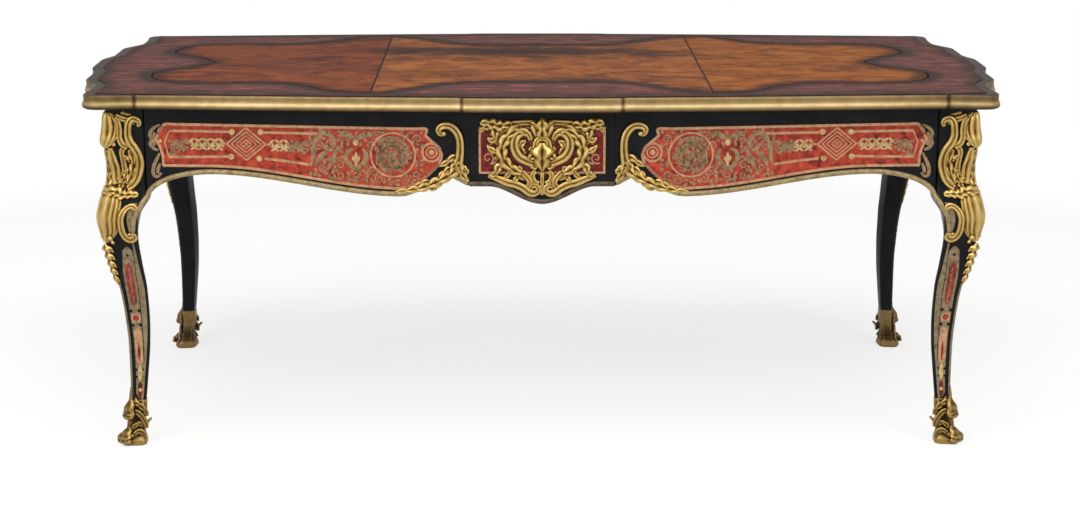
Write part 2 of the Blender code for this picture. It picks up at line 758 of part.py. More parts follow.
def band(name, rows, face, outer, inner):
    # Bent board: rows of (place, low, high) on a face, between two depths behind it
    rings = []
    for place, low, high in rows:
        front = face(place, outer)
        back = face(place, inner)
        rings.append([(*front, low), (*front, high), (*back, high), (*back, low)])
    return loft(name, rings)


def quarter_places(start, stop, count):
    # Places that crowd towards the stop, where a quarter round turns upright
    return [start + (stop - start) * math.sin(math.pi / 2 * k / (count - 1)) for k in range(count)]


def side_places():
    # Places along the right half of a front apron, from the drawer to the leg
    arch_x = INNER_X - ARCH_RUN
    places = [DRAWER_HALF + GAP] + spread(BREAK_HALF + BREAK_RAMP, NOTCH_X, 2)
    places += spread(NOTCH_X, LOBE_X, 5)[1:]
    places += spread(LOBE_X, arch_x, 8)[1:]
    return places + quarter_places(arch_x, INNER_X - GAP, 6)[1:]


def middle_places():
    half = spread(0.0, DRAWER_DIP_HALF, 6) + [DRAWER_PLAQUE_HALF, BREAK_HALF]
    return [-x for x in reversed(half[1:])] + half


def end_places():
    arch_y = INNER_Y - END_ARCH_RUN
    half = spread(0.0, arch_y, 5) + quarter_places(arch_y, INNER_Y - GAP, 6)[1:]
    return [-y for y in reversed(half[1:])] + half


def apron_rows(places, lower):
    return [(place, lower(place), TOP_Z - GAP) for place in places]


def plaque_rows(places, lower, point, lobe):
    # Rows of a plaque, round where it starts (no lobe for a half one) and bluntly pointed where it stops
    first = places[0]
    last = places[-1]
    rows = []
    for place in places:
        low = lower(place) + PLAQUE_MARGIN
        high = TOP_Z - PLAQUE_TOP_DROP
        middle = (low + high) / 2
        share = min(1.0, (abs(last - place) + point * BLUNT_POINT) / point)
        if lobe > 0:
            round_end = min(1.0, (abs(place - first) + lobe * BLUNT_LOBE) / lobe)
            share *= math.sqrt(1 - (1 - round_end) ** 2)
        rows.append((place, middle - (middle - low) * share, middle + (high - middle) * share))
    return rows


def side_plaque_rows():
    start = PLAQUE_INNER_X
    stop = INNER_X - PLAQUE_OUTER_RUN
    round_places = [start + PLAQUE_LOBE * share for share in (0.0, 0.05, 0.18, 0.40, 0.70, 1.0)]
    run = spread(start + PLAQUE_LOBE, stop - PLAQUE_POINT, 10)[1:]
    return plaque_rows(round_places + run + [stop], apron_low, PLAQUE_POINT, PLAQUE_LOBE)


def end_plaque_rows():
    stop = INNER_Y - END_PLAQUE_RUN
    half = plaque_rows(spread(0.0, stop - PLAQUE_POINT, 6) + [stop], end_low, PLAQUE_POINT, 0.0)
    return [(-place, low, high) for place, low, high in reversed(half[1:])] + half


def drawer_plaque_rows():
    high = TOP_Z - DRAWER_PLAQUE_DROP
    return [(x, high - DRAWER_PLAQUE_HEIGHT, high) for x in spread(-DRAWER_PLAQUE_HALF, DRAWER_PLAQUE_HALF, 9)]


def widened(rows, gap):
    wide = [(place, low - gap, high + gap) for place, low, high in rows]
    first = wide[0]
    last = wide[-1]
    step = math.copysign(gap, last[0] - first[0])
    wide[0] = (first[0] - step, first[1], first[2])
    wide[-1] = (last[0] + step, last[1], last[2])
    return wide


def let_in(board, name, rows, face, sx=1, sy=1):
    # Marquetry plaque let into a board, with its recess
    recess = band(name, widened(rows, GAP), face, -APRON_THICK, PLAQUE)
    cut(board, mirrored(recess, name + "_recess", sx, sy), cutters)
    plaque = band(name, rows, face, -PLAQUE_PROUD, PLAQUE - GAP)
    return add_object(name, mirrored(plaque, name, sx, sy), parts, "shell_marquetry")


def make_aprons():
    side = band("apron", apron_rows(side_places(), apron_low), front_face, 0.0, APRON_THICK)
    for hand, sx in (("left", -1), ("right", 1)):
        name = "apron_front_" + hand
        board = add_object(name, mirrored(side, name, sx, 1), parts, "ebonised_wood")
        let_in(board, "plaque_front_" + hand, side_plaque_rows(), front_face, sx, 1)
    half = side_places()
    places = [-x for x in reversed(half)] + middle_places() + half
    back = band("apron", apron_rows(places, apron_low), front_face, 0.0, APRON_THICK)
    board = add_object("apron_back", mirrored(back, "apron_back", 1, -1), parts, "ebonised_wood")
    for hand, sx in (("left", -1), ("right", 1)):
        let_in(board, "plaque_back_" + hand, side_plaque_rows(), front_face, sx, -1)
    let_in(board, "plaque_back_centre", drawer_plaque_rows(), front_face, 1, -1)
    end = band("apron", apron_rows(end_places(), end_low), end_face, 0.0, APRON_THICK)
    for hand, sx in (("left", -1), ("right", 1)):
        name = "apron_end_" + hand
        board = add_object(name, mirrored(end, name, sx, 1), parts, "ebonised_wood")
        let_in(board, "plaque_end_" + hand, end_plaque_rows(), end_face, sx, 1)


def along_depth(name, section, front, back):
    # Bar of one (x, z) section that runs from front to back
    return loft(name, [[(x, y, z) for x, z in section] for y in (front, back)])


def guide_reach():
    # Outer side of the drawer guides
    return DRAWER_HALF - DRAWER_SIDE_PLAY + RUNNER_GUIDE


def apron_back_face():
    # Distance of the inner face of the front apron from the middle, where the drawer guides meet it
    return frieze_front(guide_reach()) - APRON_THICK


def make_drawer():
    axis = bpy.data.objects.new("drawer_slide_axis", None)
    axis.location = (0.0, -frieze_front(0.0), TOP_Z - DRAWER_SIDE_BOTTOM_DROP)
    parts.objects.link(axis)
    bpy.context.view_layer.update()
    half = DRAWER_HALF - DRAWER_REVEAL
    inner = frieze_front(half) - DRAWER_FRONT_THICK
    rows = [(x, apron_low(x), TOP_Z - DRAWER_REVEAL) for x in middle_places()[1:-1]]
    edge = (apron_low(half), TOP_Z - DRAWER_REVEAL)
    rows = [(-half, *edge)] + rows + [(half, *edge)]
    rings = []
    for x, low, high in rows:
        y = -frieze_front(x)
        rings.append([(x, y, low), (x, y, high), (x, -inner, high), (x, -inner, low)])
    front = add_object("drawer_front", loft("drawer_front", rings), parts, "ebonised_wood")
    plaque = let_in(front, "plaque_drawer", drawer_plaque_rows(), front_face)
    side_x = DRAWER_HALF - DRAWER_SIDE_PLAY
    low = TOP_Z - DRAWER_SIDE_BOTTOM_DROP
    high = low + DRAWER_SIDE_HEIGHT
    start = GAP - inner
    stop = start + DRAWER_LENGTH
    face = side_x - DRAWER_SIDE_THICK
    floor = low + BOTTOM_RISE
    groove = (floor - GAP, floor + BOTTOM_THICK + GAP)
    section = (
        (side_x, low), (side_x, high), (face, high), (face, groove[1]),
        (face + GROOVE, groove[1]), (face + GROOVE, groove[0]), (face, groove[0]), (face, low),
    )
    pieces = [front, plaque]
    for hand, sx in (("left", -1), ("right", 1)):
        side = along_depth("drawer_side", section, start, stop)
        name = "drawer_side_" + hand
        pieces.append(add_object(name, mirrored(side, name, sx, 1), parts, "oak"))
    back = box(
        "drawer_back",
        (GAP - face, stop - DRAWER_SIDE_THICK, groove[1]),
        (face - GAP, stop, high),
    )
    pieces.append(add_object("drawer_back", back, parts, "oak"))
    reach = face + GROOVE - GAP
    bottom = box("drawer_bottom", (-reach, start, floor), (reach, stop, floor + BOTTOM_THICK))
    pieces.append(add_object("drawer_bottom", bottom, parts, "oak"))
    pieces += make_lock(start)
    for piece in pieces:
        piece.parent = axis
        piece.matrix_parent_inverse = axis.matrix_world.inverted()
    return axis


def make_lock(start):
    # Lock case behind the drawer front, and the stop rail under the top that its bolt rises behind
    rail_low = TOP_Z - GAP - RAIL_HEIGHT
    rail_back = start + RAIL_DEPTH
    rail = box("rail", (-DRAWER_HALF, start, rail_low), (DRAWER_HALF, rail_back, TOP_Z - GAP))
    add_object("front_top_rail", rail, parts, "oak")
    case_top = rail_low - LOCK_CLEARANCE
    bolt_y = rail_back + BOLT_PLAY + BOLT_THICK / 2
    case_back = bolt_y + BOLT_THICK / 2 + LOCK_WALL
    half = LOCK_WIDTH / 2
    case = box("lock", (-half, start, case_top - LOCK_HEIGHT), (half, case_back, case_top))
    case = add_object("drawer_lock", case, parts, "steel")
    slot = bolt_box("slot", GAP, BOLT_LENGTH + GAP, LOCK_CLEARANCE)
    cut(case, moved(slot, (0.0, bolt_y, case_top)), cutters)
    bolt = add_object("lock_bolt", bolt_box("lock_bolt", 0.0, BOLT_LENGTH, 0.0), parts, "steel")
    bolt.location = (0.0, bolt_y, case_top)
    bpy.context.view_layer.update()
    return [case, bolt]


def bolt_box(name, gap, below, above):
    half = BOLT_WIDTH / 2 + gap
    thick = BOLT_THICK / 2 + gap
    return box(name, (-half, -thick, -below), (half, thick, above))


def moved(mesh, place):
    shape = bmesh.new()
    shape.from_mesh(mesh)
    bmesh.ops.translate(shape, verts=shape.verts, vec=place)
    shape.to_mesh(mesh)
    shape.free()
    return mesh


def make_runners():
    # Runners under the drawer sides, with a guide beside them, from the front aprons to the back
    side_x = DRAWER_HALF - DRAWER_SIDE_PLAY
    high = TOP_Z - DRAWER_SIDE_BOTTOM_DROP - GAP
    section = (
        (side_x - RUNNER_BEARING, high - RUNNER_THICK),
        (guide_reach(), high - RUNNER_THICK),
        (guide_reach(), high + GUIDE_HEIGHT),
        (side_x + GAP, high + GUIDE_HEIGHT),
        (side_x + GAP, high),
        (side_x - RUNNER_BEARING, high),
    )
    reach = apron_back_face() - GAP
    for hand, sx in (("left", -1), ("right", 1)):
        name = "drawer_runner_" + hand
        bar = along_depth(name, section, -reach, reach)
        add_object(name, mirrored(bar, name, sx, 1), parts, "oak")


def stroke(rows, place, flat=1.0, sides=6, steps=3):
    # Tapered rod through (across, along, lift, radius) rows, laid on a surface by place
    keys = [(k, *row) for k, row in enumerate(rows)]
    last = len(rows) - 1
    path = [follow(keys, t) for t in spread(0.0, last, steps * last + 1)]
    rings = []
    for k, (across, along, lift, radius) in enumerate(path):
        before = path[max(0, k - 1)]
        after = path[min(len(path) - 1, k + 1)]
        run = math.hypot(after[0] - before[0], after[1] - before[1])
        side = ((after[1] - before[1]) / run, (before[0] - after[0]) / run)
        ring = []
        for corner in range(sides):
            angle = 2 * math.pi * corner / sides
            width = radius * math.cos(angle)
            height = lift + flat * radius * math.sin(angle)
            ring.append(place(across + side[0] * width, along + side[1] * width, height))
        rings.append(ring)
    return loft("stroke", rings)


def paired(rows):
    return rows, tuple((-across, *rest) for across, *rest in rows)


def fused(name, meshes, faces):
    # Overlapping solids fused to one casting, then thinned to about so many triangles
    shape = bmesh.new()
    for mesh in meshes:
        shape.from_mesh(mesh)
    joined = bpy.data.meshes.new(name)
    shape.to_mesh(joined)
    shape.free()
    item = add_object(name, joined, cutters, "gilt_brass")
    fuse = item.modifiers.new("fuse", "REMESH")
    fuse.mode = "VOXEL"
    fuse.voxel_size = MOUNT_VOXEL
    item = add_object(name, baked(item), cutters, "gilt_brass")
    thin = item.modifiers.new("thin", "DECIMATE")
    thin.ratio = faces / (2 * len(item.data.polygons))
    return baked(item)


def seated(name, mesh, seats):
    # Casting cut back to the surfaces that it sits on, without stray chips
    item = add_object(name, mesh, cutters, "gilt_brass")
    for seat in seats:
        cut(item, seat, cutters)
        item.modifiers[-1].solver = "MANIFOLD"
    return main_body(baked(item))


def main_body(mesh):
    # Largest connected body of a mesh
    shape = bmesh.new()
    shape.from_mesh(mesh)
    left = set(shape.verts)
    bodies = []
    while left:
        body = {left.pop()}
        fringe = list(body)
        while fringe:
            for edge in fringe.pop().link_edges:
                for vert in edge.verts:
                    if vert in left:
                        left.remove(vert)
                        body.add(vert)
                        fringe.append(vert)
        bodies.append(body)
    bodies.sort(key=len)
    chips = [vert for body in bodies[:-1] for vert in body]
    bmesh.ops.delete(shape, geom=chips, context="VERTS")
    shape.to_mesh(mesh)
    shape.free()
    return mesh


def on_leg(across, z, lift):
    # Point of the front right leg: across its arris, at a height, lifted off its face
    x, y, radius, first, turn = leg_corners(z)[-1]
    arc = radius * turn / 2
    beyond = max(0.0, abs(across) - arc)
    side = math.copysign(1.0, across)
    angle = first + turn / 2 - side * (turn / 2 if beyond > 0 else abs(across) / radius)
    reach = radius + lift
    along = angle - side * math.pi / 2
    return (
        x + reach * math.cos(angle) + beyond * math.cos(along),
        y + reach * math.sin(angle) + beyond * math.sin(along),
        z,
    )


def on_post(across, drop, lift):
    return on_leg(across, TOP_Z - drop, lift)


def on_frieze(across, drop, lift):
    return across, -frieze_front(across) - PLAQUE_PROUD - lift, TOP_Z - drop


def frieze_seat(name, places):
    # Cutter whose face stands just proud of the front apron and its plaque
    rows = [(place, TOP_Z - POST_DEPTH, TOP_Z) for place in places]
    return band(name, rows, front_face, -PLAQUE_PROUD - SEAT_GAP, APRON_THICK)


def make_corner_mounts():
    meshes = [stroke(rows, on_post, MOUNT_FLAT) for pair in CORNER_MOUNT_PAIRS for rows in paired(pair)]
    spine, cabochon, husks = CORNER_MOUNT_SPINE
    meshes += [stroke(spine, on_post), stroke(cabochon, on_post, CABOCHON_FLAT, 10), stroke(husks, on_post)]
    casting = fused("corner_mount", meshes, CORNER_MOUNT_FACES)
    master = seated("corner_mount", casting, [leg_skin("mount_seat", SEAT_GAP)])
    for name, sx, sy in CORNERS:
        add_object("corner_mount_" + name, mirrored(master, "corner_mount", sx, sy), parts, "gilt_brass")


def make_sabots():
    rings = []
    for z, grow in SABOT_CUFF:
        rings.append([(x, y, z - SABOT_SOLE * (z == 0)) for x, y, height in leg_ring(max(z, LEG_END), grow)])
    meshes = [loft("cuff", rings)]
    meshes += [stroke(rows, on_leg) for pair in SABOT_PAIRS for rows in paired(pair)]
    meshes += [stroke(rows, on_leg) for rows in SABOT_SPINE]
    casting = fused("sabot", meshes, SABOT_FACES)
    reach = LENGTH
    floor = box("floor", (-reach, -reach, -reach), (reach, reach, 0.0))
    socket = leg_skin("sabot_socket", GAP, LEG_END - GAP)
    master = seated("sabot", casting, [floor, socket])
    for name, sx, sy in CORNERS:
        add_object("sabot_" + name, mirrored(master, "sabot", sx, sy), parts, "gilt_brass")


def make_cartouches(drawer):
    meshes = [stroke(rows, on_frieze) for pair in CARTOUCHE_PAIRS for rows in paired(pair)]
    meshes += [stroke(rows, on_frieze) for rows in CARTOUCHE_SPINE]
    casting = fused("cartouche", meshes, CARTOUCHE_FACES)
    master = seated("cartouche", casting, [frieze_seat("cartouche_seat", middle_places())])
    front = add_object("cartouche_drawer", master, parts, "gilt_brass")
    front.parent = drawer
    front.matrix_parent_inverse = drawer.matrix_world.inverted()
    add_object("cartouche_back", mirrored(master, "cartouche_back", 1, -1), parts, "gilt_brass")


def make_scrolls():
    casting = fused("scroll", [stroke(rows, on_frieze) for rows in SCROLL], SCROLL_FACES)
    master = seated("scroll", casting, [frieze_seat("scroll_seat", side_places())])
    for name, sx, sy in CORNERS:
        add_object("scroll_mount_" + name, mirrored(master, "scroll_mount", sx, sy), parts, "gilt_brass")


CORNERS = (
    ("front_left", -1, 1),
    ("front_right", 1, 1),
    ("back_left", -1, -1),
    ("back_right", 1, -1),
)

clear_scene()
parts = new_collection("centre_table")
cutters = new_collection("cutters")
leg_rows = leg_stations()
make_top()
make_edge_mouldings()
make_legs()
make_aprons()
drawer_axis = make_drawer()
make_runners()
make_corner_mounts()
make_sabots()
make_cartouches(drawer_axis)
make_scrolls()
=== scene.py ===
import math

import bmesh
import bpy
import numpy as np
from mathutils import Matrix


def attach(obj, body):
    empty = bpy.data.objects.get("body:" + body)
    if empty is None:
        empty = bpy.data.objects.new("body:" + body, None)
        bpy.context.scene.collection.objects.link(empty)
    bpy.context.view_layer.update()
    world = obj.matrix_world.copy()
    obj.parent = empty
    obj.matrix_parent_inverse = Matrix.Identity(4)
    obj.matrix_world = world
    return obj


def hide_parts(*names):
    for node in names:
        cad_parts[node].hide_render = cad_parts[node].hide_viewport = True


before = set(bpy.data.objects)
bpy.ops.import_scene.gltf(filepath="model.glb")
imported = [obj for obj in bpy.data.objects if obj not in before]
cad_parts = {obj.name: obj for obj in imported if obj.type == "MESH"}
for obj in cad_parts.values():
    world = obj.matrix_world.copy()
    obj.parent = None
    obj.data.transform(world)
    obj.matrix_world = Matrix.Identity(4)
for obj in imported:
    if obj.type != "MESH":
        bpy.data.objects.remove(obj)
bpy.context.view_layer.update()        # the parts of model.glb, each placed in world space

millimetre = 0.001

# Sizes of the table in metres, the same as those of the solids
table = {
    "length": 2.0, "depth": 1.0, "height": 0.77, "topThick": 0.032, "endBow": 0.049, "frontBow": 0.038,
    "ear": 0.010, "endEar": 0.004, "earRadius": 0.035, "fullness": 1.3, "crown": 0.018, "crownY": 0.050,
    "crownRun": 0.080, "shoulderY": 0.225, "shoulderRun": 0.100, "breakOut": 0.006, "breakHalf": 0.150,
    "breakRamp": 0.030, "cornerRunX": 0.112, "cornerRunY": 0.084, "overhang": 0.040, "endOverhang": 0.034,
    "seamX": 0.355, "post": 0.090, "postDepth": 0.200, "apronThick": 0.022, "apronStep": 0.012,
    "gap": 0.0003,
}
topZ = table["height"] - table["topThick"]
springZ = topZ - table["postDepth"]
cornerX = table["length"] / 2 - table["endBow"]
cornerY = table["depth"] / 2 - table["frontBow"]
postX = cornerX - table["endOverhang"]
postY = cornerY - table["overhang"]
innerX = postX - table["post"]
innerY = postY - table["post"]
hands = (("left", -1), ("right", 1))
corners = (("front_left", -1, 1), ("front_right", 1, 1), ("back_left", -1, -1), ("back_right", 1, -1))


# Curves that the wood follows
def ease(share):
    share = min(1.0, max(0.0, share))
    return share * share * (3 - 2 * share)


def swell(share):
    return math.cos(math.pi / 2 * min(1.0, abs(share))) ** table["fullness"]


def breakForward(x):
    return table["breakOut"] * (1 - ease((abs(x) - table["breakHalf"]) / table["breakRamp"]))


def earShare(place, corner, run):
    return ease((abs(place) - corner + run) / (run - table["earRadius"]))


def topFront(x):
    base = cornerY - table["ear"]
    bow = table["depth"] / 2 - table["breakOut"] - base
    out = base + bow * swell(x / (cornerX - table["earRadius"]))
    return out + breakForward(x) + table["ear"] * earShare(x, cornerX, table["cornerRunX"])


def topEnd(y):
    # a crown in the middle, a shoulder on each side of it, then a hollow before the ear
    base = cornerX - table["endEar"]
    shoulder = table["length"] / 2 - table["crown"] - base
    out = base + shoulder * (1 - ease((abs(y) - table["shoulderY"]) / table["shoulderRun"]))
    out += table["crown"] * (1 - ease((abs(y) - table["crownY"]) / table["crownRun"]))
    return out + table["endEar"] * earShare(y, cornerY, table["cornerRunY"])


def friezeFront(x):
    base = postY - table["apronStep"]
    bow = table["depth"] / 2 - table["overhang"] - table["breakOut"] - base
    return base + bow * swell(x / innerX) + breakForward(x)


def friezeEnd(y):
    base = postX - table["apronStep"]
    bow = table["length"] / 2 - table["overhang"] - base
    return base + bow * swell(y / innerY)


apronEdge = {           # drops below the top, and where they are
    "arch": 0.141, "archRun": 0.143, "lobe": 0.183, "lobeX": 0.296, "notch": 0.142, "notchX": 0.186,
    "drawerHalf": 0.1515, "drawerCorner": 0.159, "drawerDip": 0.196, "dipHalf": 0.110,
    "endArchRun": 0.120, "endDip": 0.173, "reveal": 0.0002, "drawerThick": 0.020,
}


def archDrop(share):
    share = min(1.0, share)
    return table["postDepth"] - (table["postDepth"] - apronEdge["arch"]) * math.sqrt(1 - share ** 2)


def apronDrop(x):
    e = apronEdge
    x = abs(x)
    archX = innerX - e["archRun"]
    if x > archX:
        return archDrop((x - archX) / e["archRun"])
    if x > e["lobeX"]:
        return e["lobe"] - (e["lobe"] - e["arch"]) * ease((x - e["lobeX"]) / (archX - e["lobeX"]))
    if x > e["notchX"]:
        return e["lobe"] - (e["lobe"] - e["notch"]) * ease((e["lobeX"] - x) / (e["lobeX"] - e["notchX"]))
    if x > e["drawerHalf"]:
        share = (x - e["drawerHalf"]) / (e["notchX"] - e["drawerHalf"])
        return e["drawerCorner"] - (e["drawerCorner"] - e["notch"]) * share
    return e["drawerCorner"] + (e["drawerDip"] - e["drawerCorner"]) * (1 - ease(x / e["dipHalf"]))


def endDrop(y):
    e = apronEdge
    y = abs(y)
    archY = innerY - e["endArchRun"]
    if y > archY:
        return archDrop((y - archY) / e["endArchRun"])
    return e["endDip"] - (e["endDip"] - e["arch"]) * ease(y / archY)


# Leg: height as a share of the clear height, then outer and inner face against those of the post, and
# how far an outer face falls back behind the arris
legProfile = (
    (0.000, -0.0220, 0.0340, 0.003), (0.112, -0.0315, 0.0265, 0.003), (0.204, -0.0345, 0.0205, 0.004),
    (0.297, -0.0340, 0.0150, 0.006), (0.409, -0.0325, 0.0090, 0.009), (0.520, -0.0275, 0.0065, 0.012),
    (0.632, -0.0195, 0.0080, 0.014), (0.743, -0.0065, 0.0150, 0.013), (0.855, 0.0040, 0.0205, 0.010),
    (0.930, 0.0085, 0.0190, 0.004), (1.000, 0.0000, 0.0020, 0.000),
)
postProfile = (
    (0.163, -0.012, 0.0, 0.0), (0.128, -0.014, 0.0, 0.0), (0.078, -0.007, 0.0, 0.0),
    (0.0, -0.008, 0.0, 0.0),
)
legShape = {"splay": 0.008, "end": 0.012, "arris": 0.30, "insideCut": 1.0, "stations": 110, "arcSteps": 6}


def follow(keys, place):
    # smooth curve through key rows (place, values...) that never overshoots them
    row = 0
    while row < len(keys) - 2 and place > keys[row + 1][0]:
        row += 1
    slopes = [(np.array(b[1:]) - np.array(a[1:])) / (b[0] - a[0]) for a, b in zip(keys, keys[1:])]
    slope = slopes[row]
    before = slopes[max(0, row - 1)]
    after = slopes[min(len(slopes) - 1, row + 1)]
    start = np.where(before * slope > 0, 2 * before * slope / (before + slope + 1e-12), 0.0)
    stop = np.where(after * slope > 0, 2 * after * slope / (after + slope + 1e-12), 0.0)
    width = keys[row + 1][0] - keys[row][0]
    t = min(1.0, max(0.0, (place - keys[row][0]) / width))
    bend = start * width * t * (1 - t) ** 2 - stop * width * t ** 2 * (1 - t)
    return np.array(keys[row][1:]) + slope * width * ease(t) + bend


legKeys = [(share * springZ, *rest) for share, *rest in legProfile]
legKeys += [(topZ - drop, *rest) for drop, *rest in postProfile]
legHeights = np.linspace(legShape["end"], topZ - table["gap"], legShape["stations"])
legOffsets = np.array([follow(legKeys, z) for z in legHeights])


def legAt(z):
    # middle, half width and cant of the front right leg
    outer, inner, cant = [np.interp(z, legHeights, column) for column in legOffsets.T]
    half = (table["post"] + outer - inner) / 2
    splay = legShape["splay"] * max(0.0, 1 - z / springZ) ** 2
    return postX + outer - half, half - postY - outer - splay, half, cant


def legCorners(z):
    # rounded corners of the section, from the inner edge of its end face round to the arris: centre,
    # radius, first angle and turn
    x, y, half, cant = legAt(z)
    radius = legShape["arris"] * half
    inside = legShape["insideCut"] * cant
    points = ((x + half - cant, y + half), (x - half + inside, y + half - inside),
              (x - half, y - half + cant), (x + half, y - half))
    rounded = []
    for k, (px, py) in enumerate(points):
        before, after = points[k - 1], points[(k + 1) % 4]
        first = math.atan2(py - before[1], px - before[0]) - math.pi / 2
        second = math.atan2(after[1] - py, after[0] - px) - math.pi / 2
        turn = (second - first) % (2 * math.pi)
        reach = radius / math.cos(turn / 2)
        aim = first + turn / 2
        rounded.append((px - reach * math.cos(aim), py - reach * math.sin(aim), radius, first, turn))
    return rounded


# Places on the wood: across and drop or height, then how far off the surface
def onLeg(across, z, lift):
    x, y, radius, first, turn = legCorners(z)[-1]
    beyond = max(0.0, abs(across) - radius * turn / 2)
    side = math.copysign(1.0, across)
    angle = first + turn / 2 - side * min(turn / 2, abs(across) / radius)
    along = angle - side * math.pi / 2
    reach = radius + lift
    return (x + reach * math.cos(angle) + beyond * math.cos(along),
            y + reach * math.sin(angle) + beyond * math.sin(along), z)


def onPost(across, drop, lift):
    return onLeg(across, topZ - drop, lift)


def onFrieze(across, drop, lift):
    return across, -friezeFront(across) - lift, topZ - drop


def onEnd(across, drop, lift):
    return friezeEnd(across) + lift, across, topZ - drop


def legFace(z):
    # where a face of the leg starts, and how wide it is, across from the arris
    x, y, half, cant = legAt(z)
    x, y, radius, first, turn = legCorners(z)[-1]
    return radius * turn / 2, 2 * (half - radius)


# Nodes, colours and materials
def linear(code):
    values = [int(code[k:k + 2], 16) / 255 for k in (1, 3, 5)]
    return tuple(v / 12.92 if v <= 0.04045 else ((v + 0.055) / 1.055) ** 2.4 for v in values) + (1.0,)


def addNode(tree, kind, inputs=None, into=None, **settings):
    # a value that is a node or a socket is linked, and the node's own result may go into a socket
    node = tree.nodes.new(kind)
    for key, value in settings.items():
        setattr(node, key, value)
    for key, value in (inputs or {}).items():
        if isinstance(value, bpy.types.Node):
            value = value.outputs[0]
        if isinstance(value, bpy.types.NodeSocket):
            tree.links.new(value, node.inputs[key])
        else:
            node.inputs[key].default_value = value
    if into is not None:
        tree.links.new(node.outputs[0], into)
    return node


def startMaterial(name, roughness, metallic=0.0, specular=0.5):
    material = bpy.data.materials.new(name)
    material.use_nodes = True
    tree = material.node_tree
    shader = tree.nodes["Principled BSDF"]
    for socket, value in (("Roughness", roughness), ("Metallic", metallic),
                          ("Specular IOR Level", specular)):
        shader.inputs[socket].default_value = value
    return material, tree, shader, addNode(tree, "ShaderNodeTexCoord").outputs["Object"]


def paint(tree, shader, factor, stops):
    # colour stops along a factor, into the base colour
    ramp = addNode(tree, "ShaderNodeValToRGB", {"Fac": factor}, shader.inputs["Base Color"]).color_ramp
    while len(ramp.elements) < len(stops):
        ramp.elements.new(0.5)
    for element, (place, code) in zip(ramp.elements, stops):
        element.position = place
        element.color = linear(code)


def roughen(tree, shader, height, distance, strength):
    sizes = {"Height": height, "Distance": distance, "Strength": strength}
    addNode(tree, "ShaderNodeBump", sizes, shader.inputs["Normal"])


def gildedBrass(name, codes, places, metallic, smooth, dull):
    # cast, chased and mercury-gilt brass, coloured by an attribute: pale gold on the worn heights and
    # painted highlights, brown dirt and painted shade in the hollows
    material, tree, shader, place = startMaterial(name, 0.4, metallic)
    paintedLightAndGrime = addNode(tree, "ShaderNodeAttribute", attribute_name="grimeAndPaintedLight").outputs["Fac"]
    mottle = addNode(tree, "ShaderNodeTexNoise", {"Vector": place, "Scale": 1 / 0.020, "Detail": 5.0})
    uneven = addNode(tree, "ShaderNodeMath", {0: mottle, 1: 0.30, 2: -0.15}, operation="MULTIPLY_ADD")
    wearAndPaintedLight = addNode(tree, "ShaderNodeMath", {0: paintedLightAndGrime, 1: uneven}, operation="ADD")
    paint(tree, shader, wearAndPaintedLight, list(zip(places, codes.split())))
    sheen = {"Value": wearAndPaintedLight, "To Min": smooth, "To Max": dull}
    addNode(tree, "ShaderNodeMapRange", sheen, shader.inputs["Roughness"])
    grit = addNode(tree, "ShaderNodeTexNoise", {"Vector": place, "Scale": 1 / 0.0022, "Detail": 3.0})
    roughen(tree, shader, grit, 0.0004, 0.35)
    return material


def inlaidBrass(name, light, mid, dark):
    # sheet brass sawn out and let in flush, rubbed to a soft shine with a brown film in the scratches
    material, tree, shader, place = startMaterial(name, 0.46, 0.35, 0.3)
    film = addNode(tree, "ShaderNodeTexNoise", {
        "Vector": place, "Scale": 1 / 0.010, "Detail": 6.0, "Roughness": 0.65})
    paint(tree, shader, film, ((0.28, dark), (0.48, mid), (0.72, light)))
    scratch = addNode(tree, "ShaderNodeMapping", {
        "Vector": place, "Scale": (1 / 0.030, 1 / 0.030, 1 / 0.0012)})
    rub = addNode(tree, "ShaderNodeTexNoise", {"Vector": scratch, "Scale": 1.0, "Detail": 2.0})
    roughen(tree, shader, rub, 0.0002, 0.2)
    return material


def redShell(name, dark, mid, light):
    # thin shell over red paint: deep red with soft darker clouds under a polished skin
    material, tree, shader, place = startMaterial(name, 0.30, 0.0, 0.2)
    cloud = addNode(tree, "ShaderNodeTexNoise", {
        "Vector": place, "Scale": 1 / 0.016, "Detail": 4.0, "Distortion": 0.6})
    paint(tree, shader, cloud, ((0.30, dark), (0.47, mid), (0.70, light)))
    ripple = addNode(tree, "ShaderNodeTexNoise", {"Vector": place, "Scale": 1 / 0.012, "Detail": 1.0})
    roughen(tree, shader, ripple, 0.0004, 0.12)
    return material


def ebonisedWood():
    # pear wood stained black and french polished: near black, with a faint cloudy grain in the shine
    material, tree, shader, place = startMaterial("ebonisedWood", 0.30, 0.0, 0.10)
    fibre = addNode(tree, "ShaderNodeMapping", {"Vector": place, "Scale": (1 / 0.05, 1 / 0.05, 1 / 0.05)})
    grain = addNode(tree, "ShaderNodeTexNoise", {"Vector": fibre, "Scale": 1.0, "Detail": 8.0})
    paint(tree, shader, grain, ((0.30, "#0d0e0e"), (0.62, "#171719"), (0.80, "#231f1f")))
    sheen = {"Value": grain, "To Min": 0.22, "To Max": 0.42}
    addNode(tree, "ShaderNodeMapRange", sheen, shader.inputs["Roughness"])
    pore = addNode(tree, "ShaderNodeTexNoise", {"Vector": place, "Scale": 1 / 0.0025, "Detail": 2.0})
    roughen(tree, shader, pore, 0.0002, 0.15)
    return material


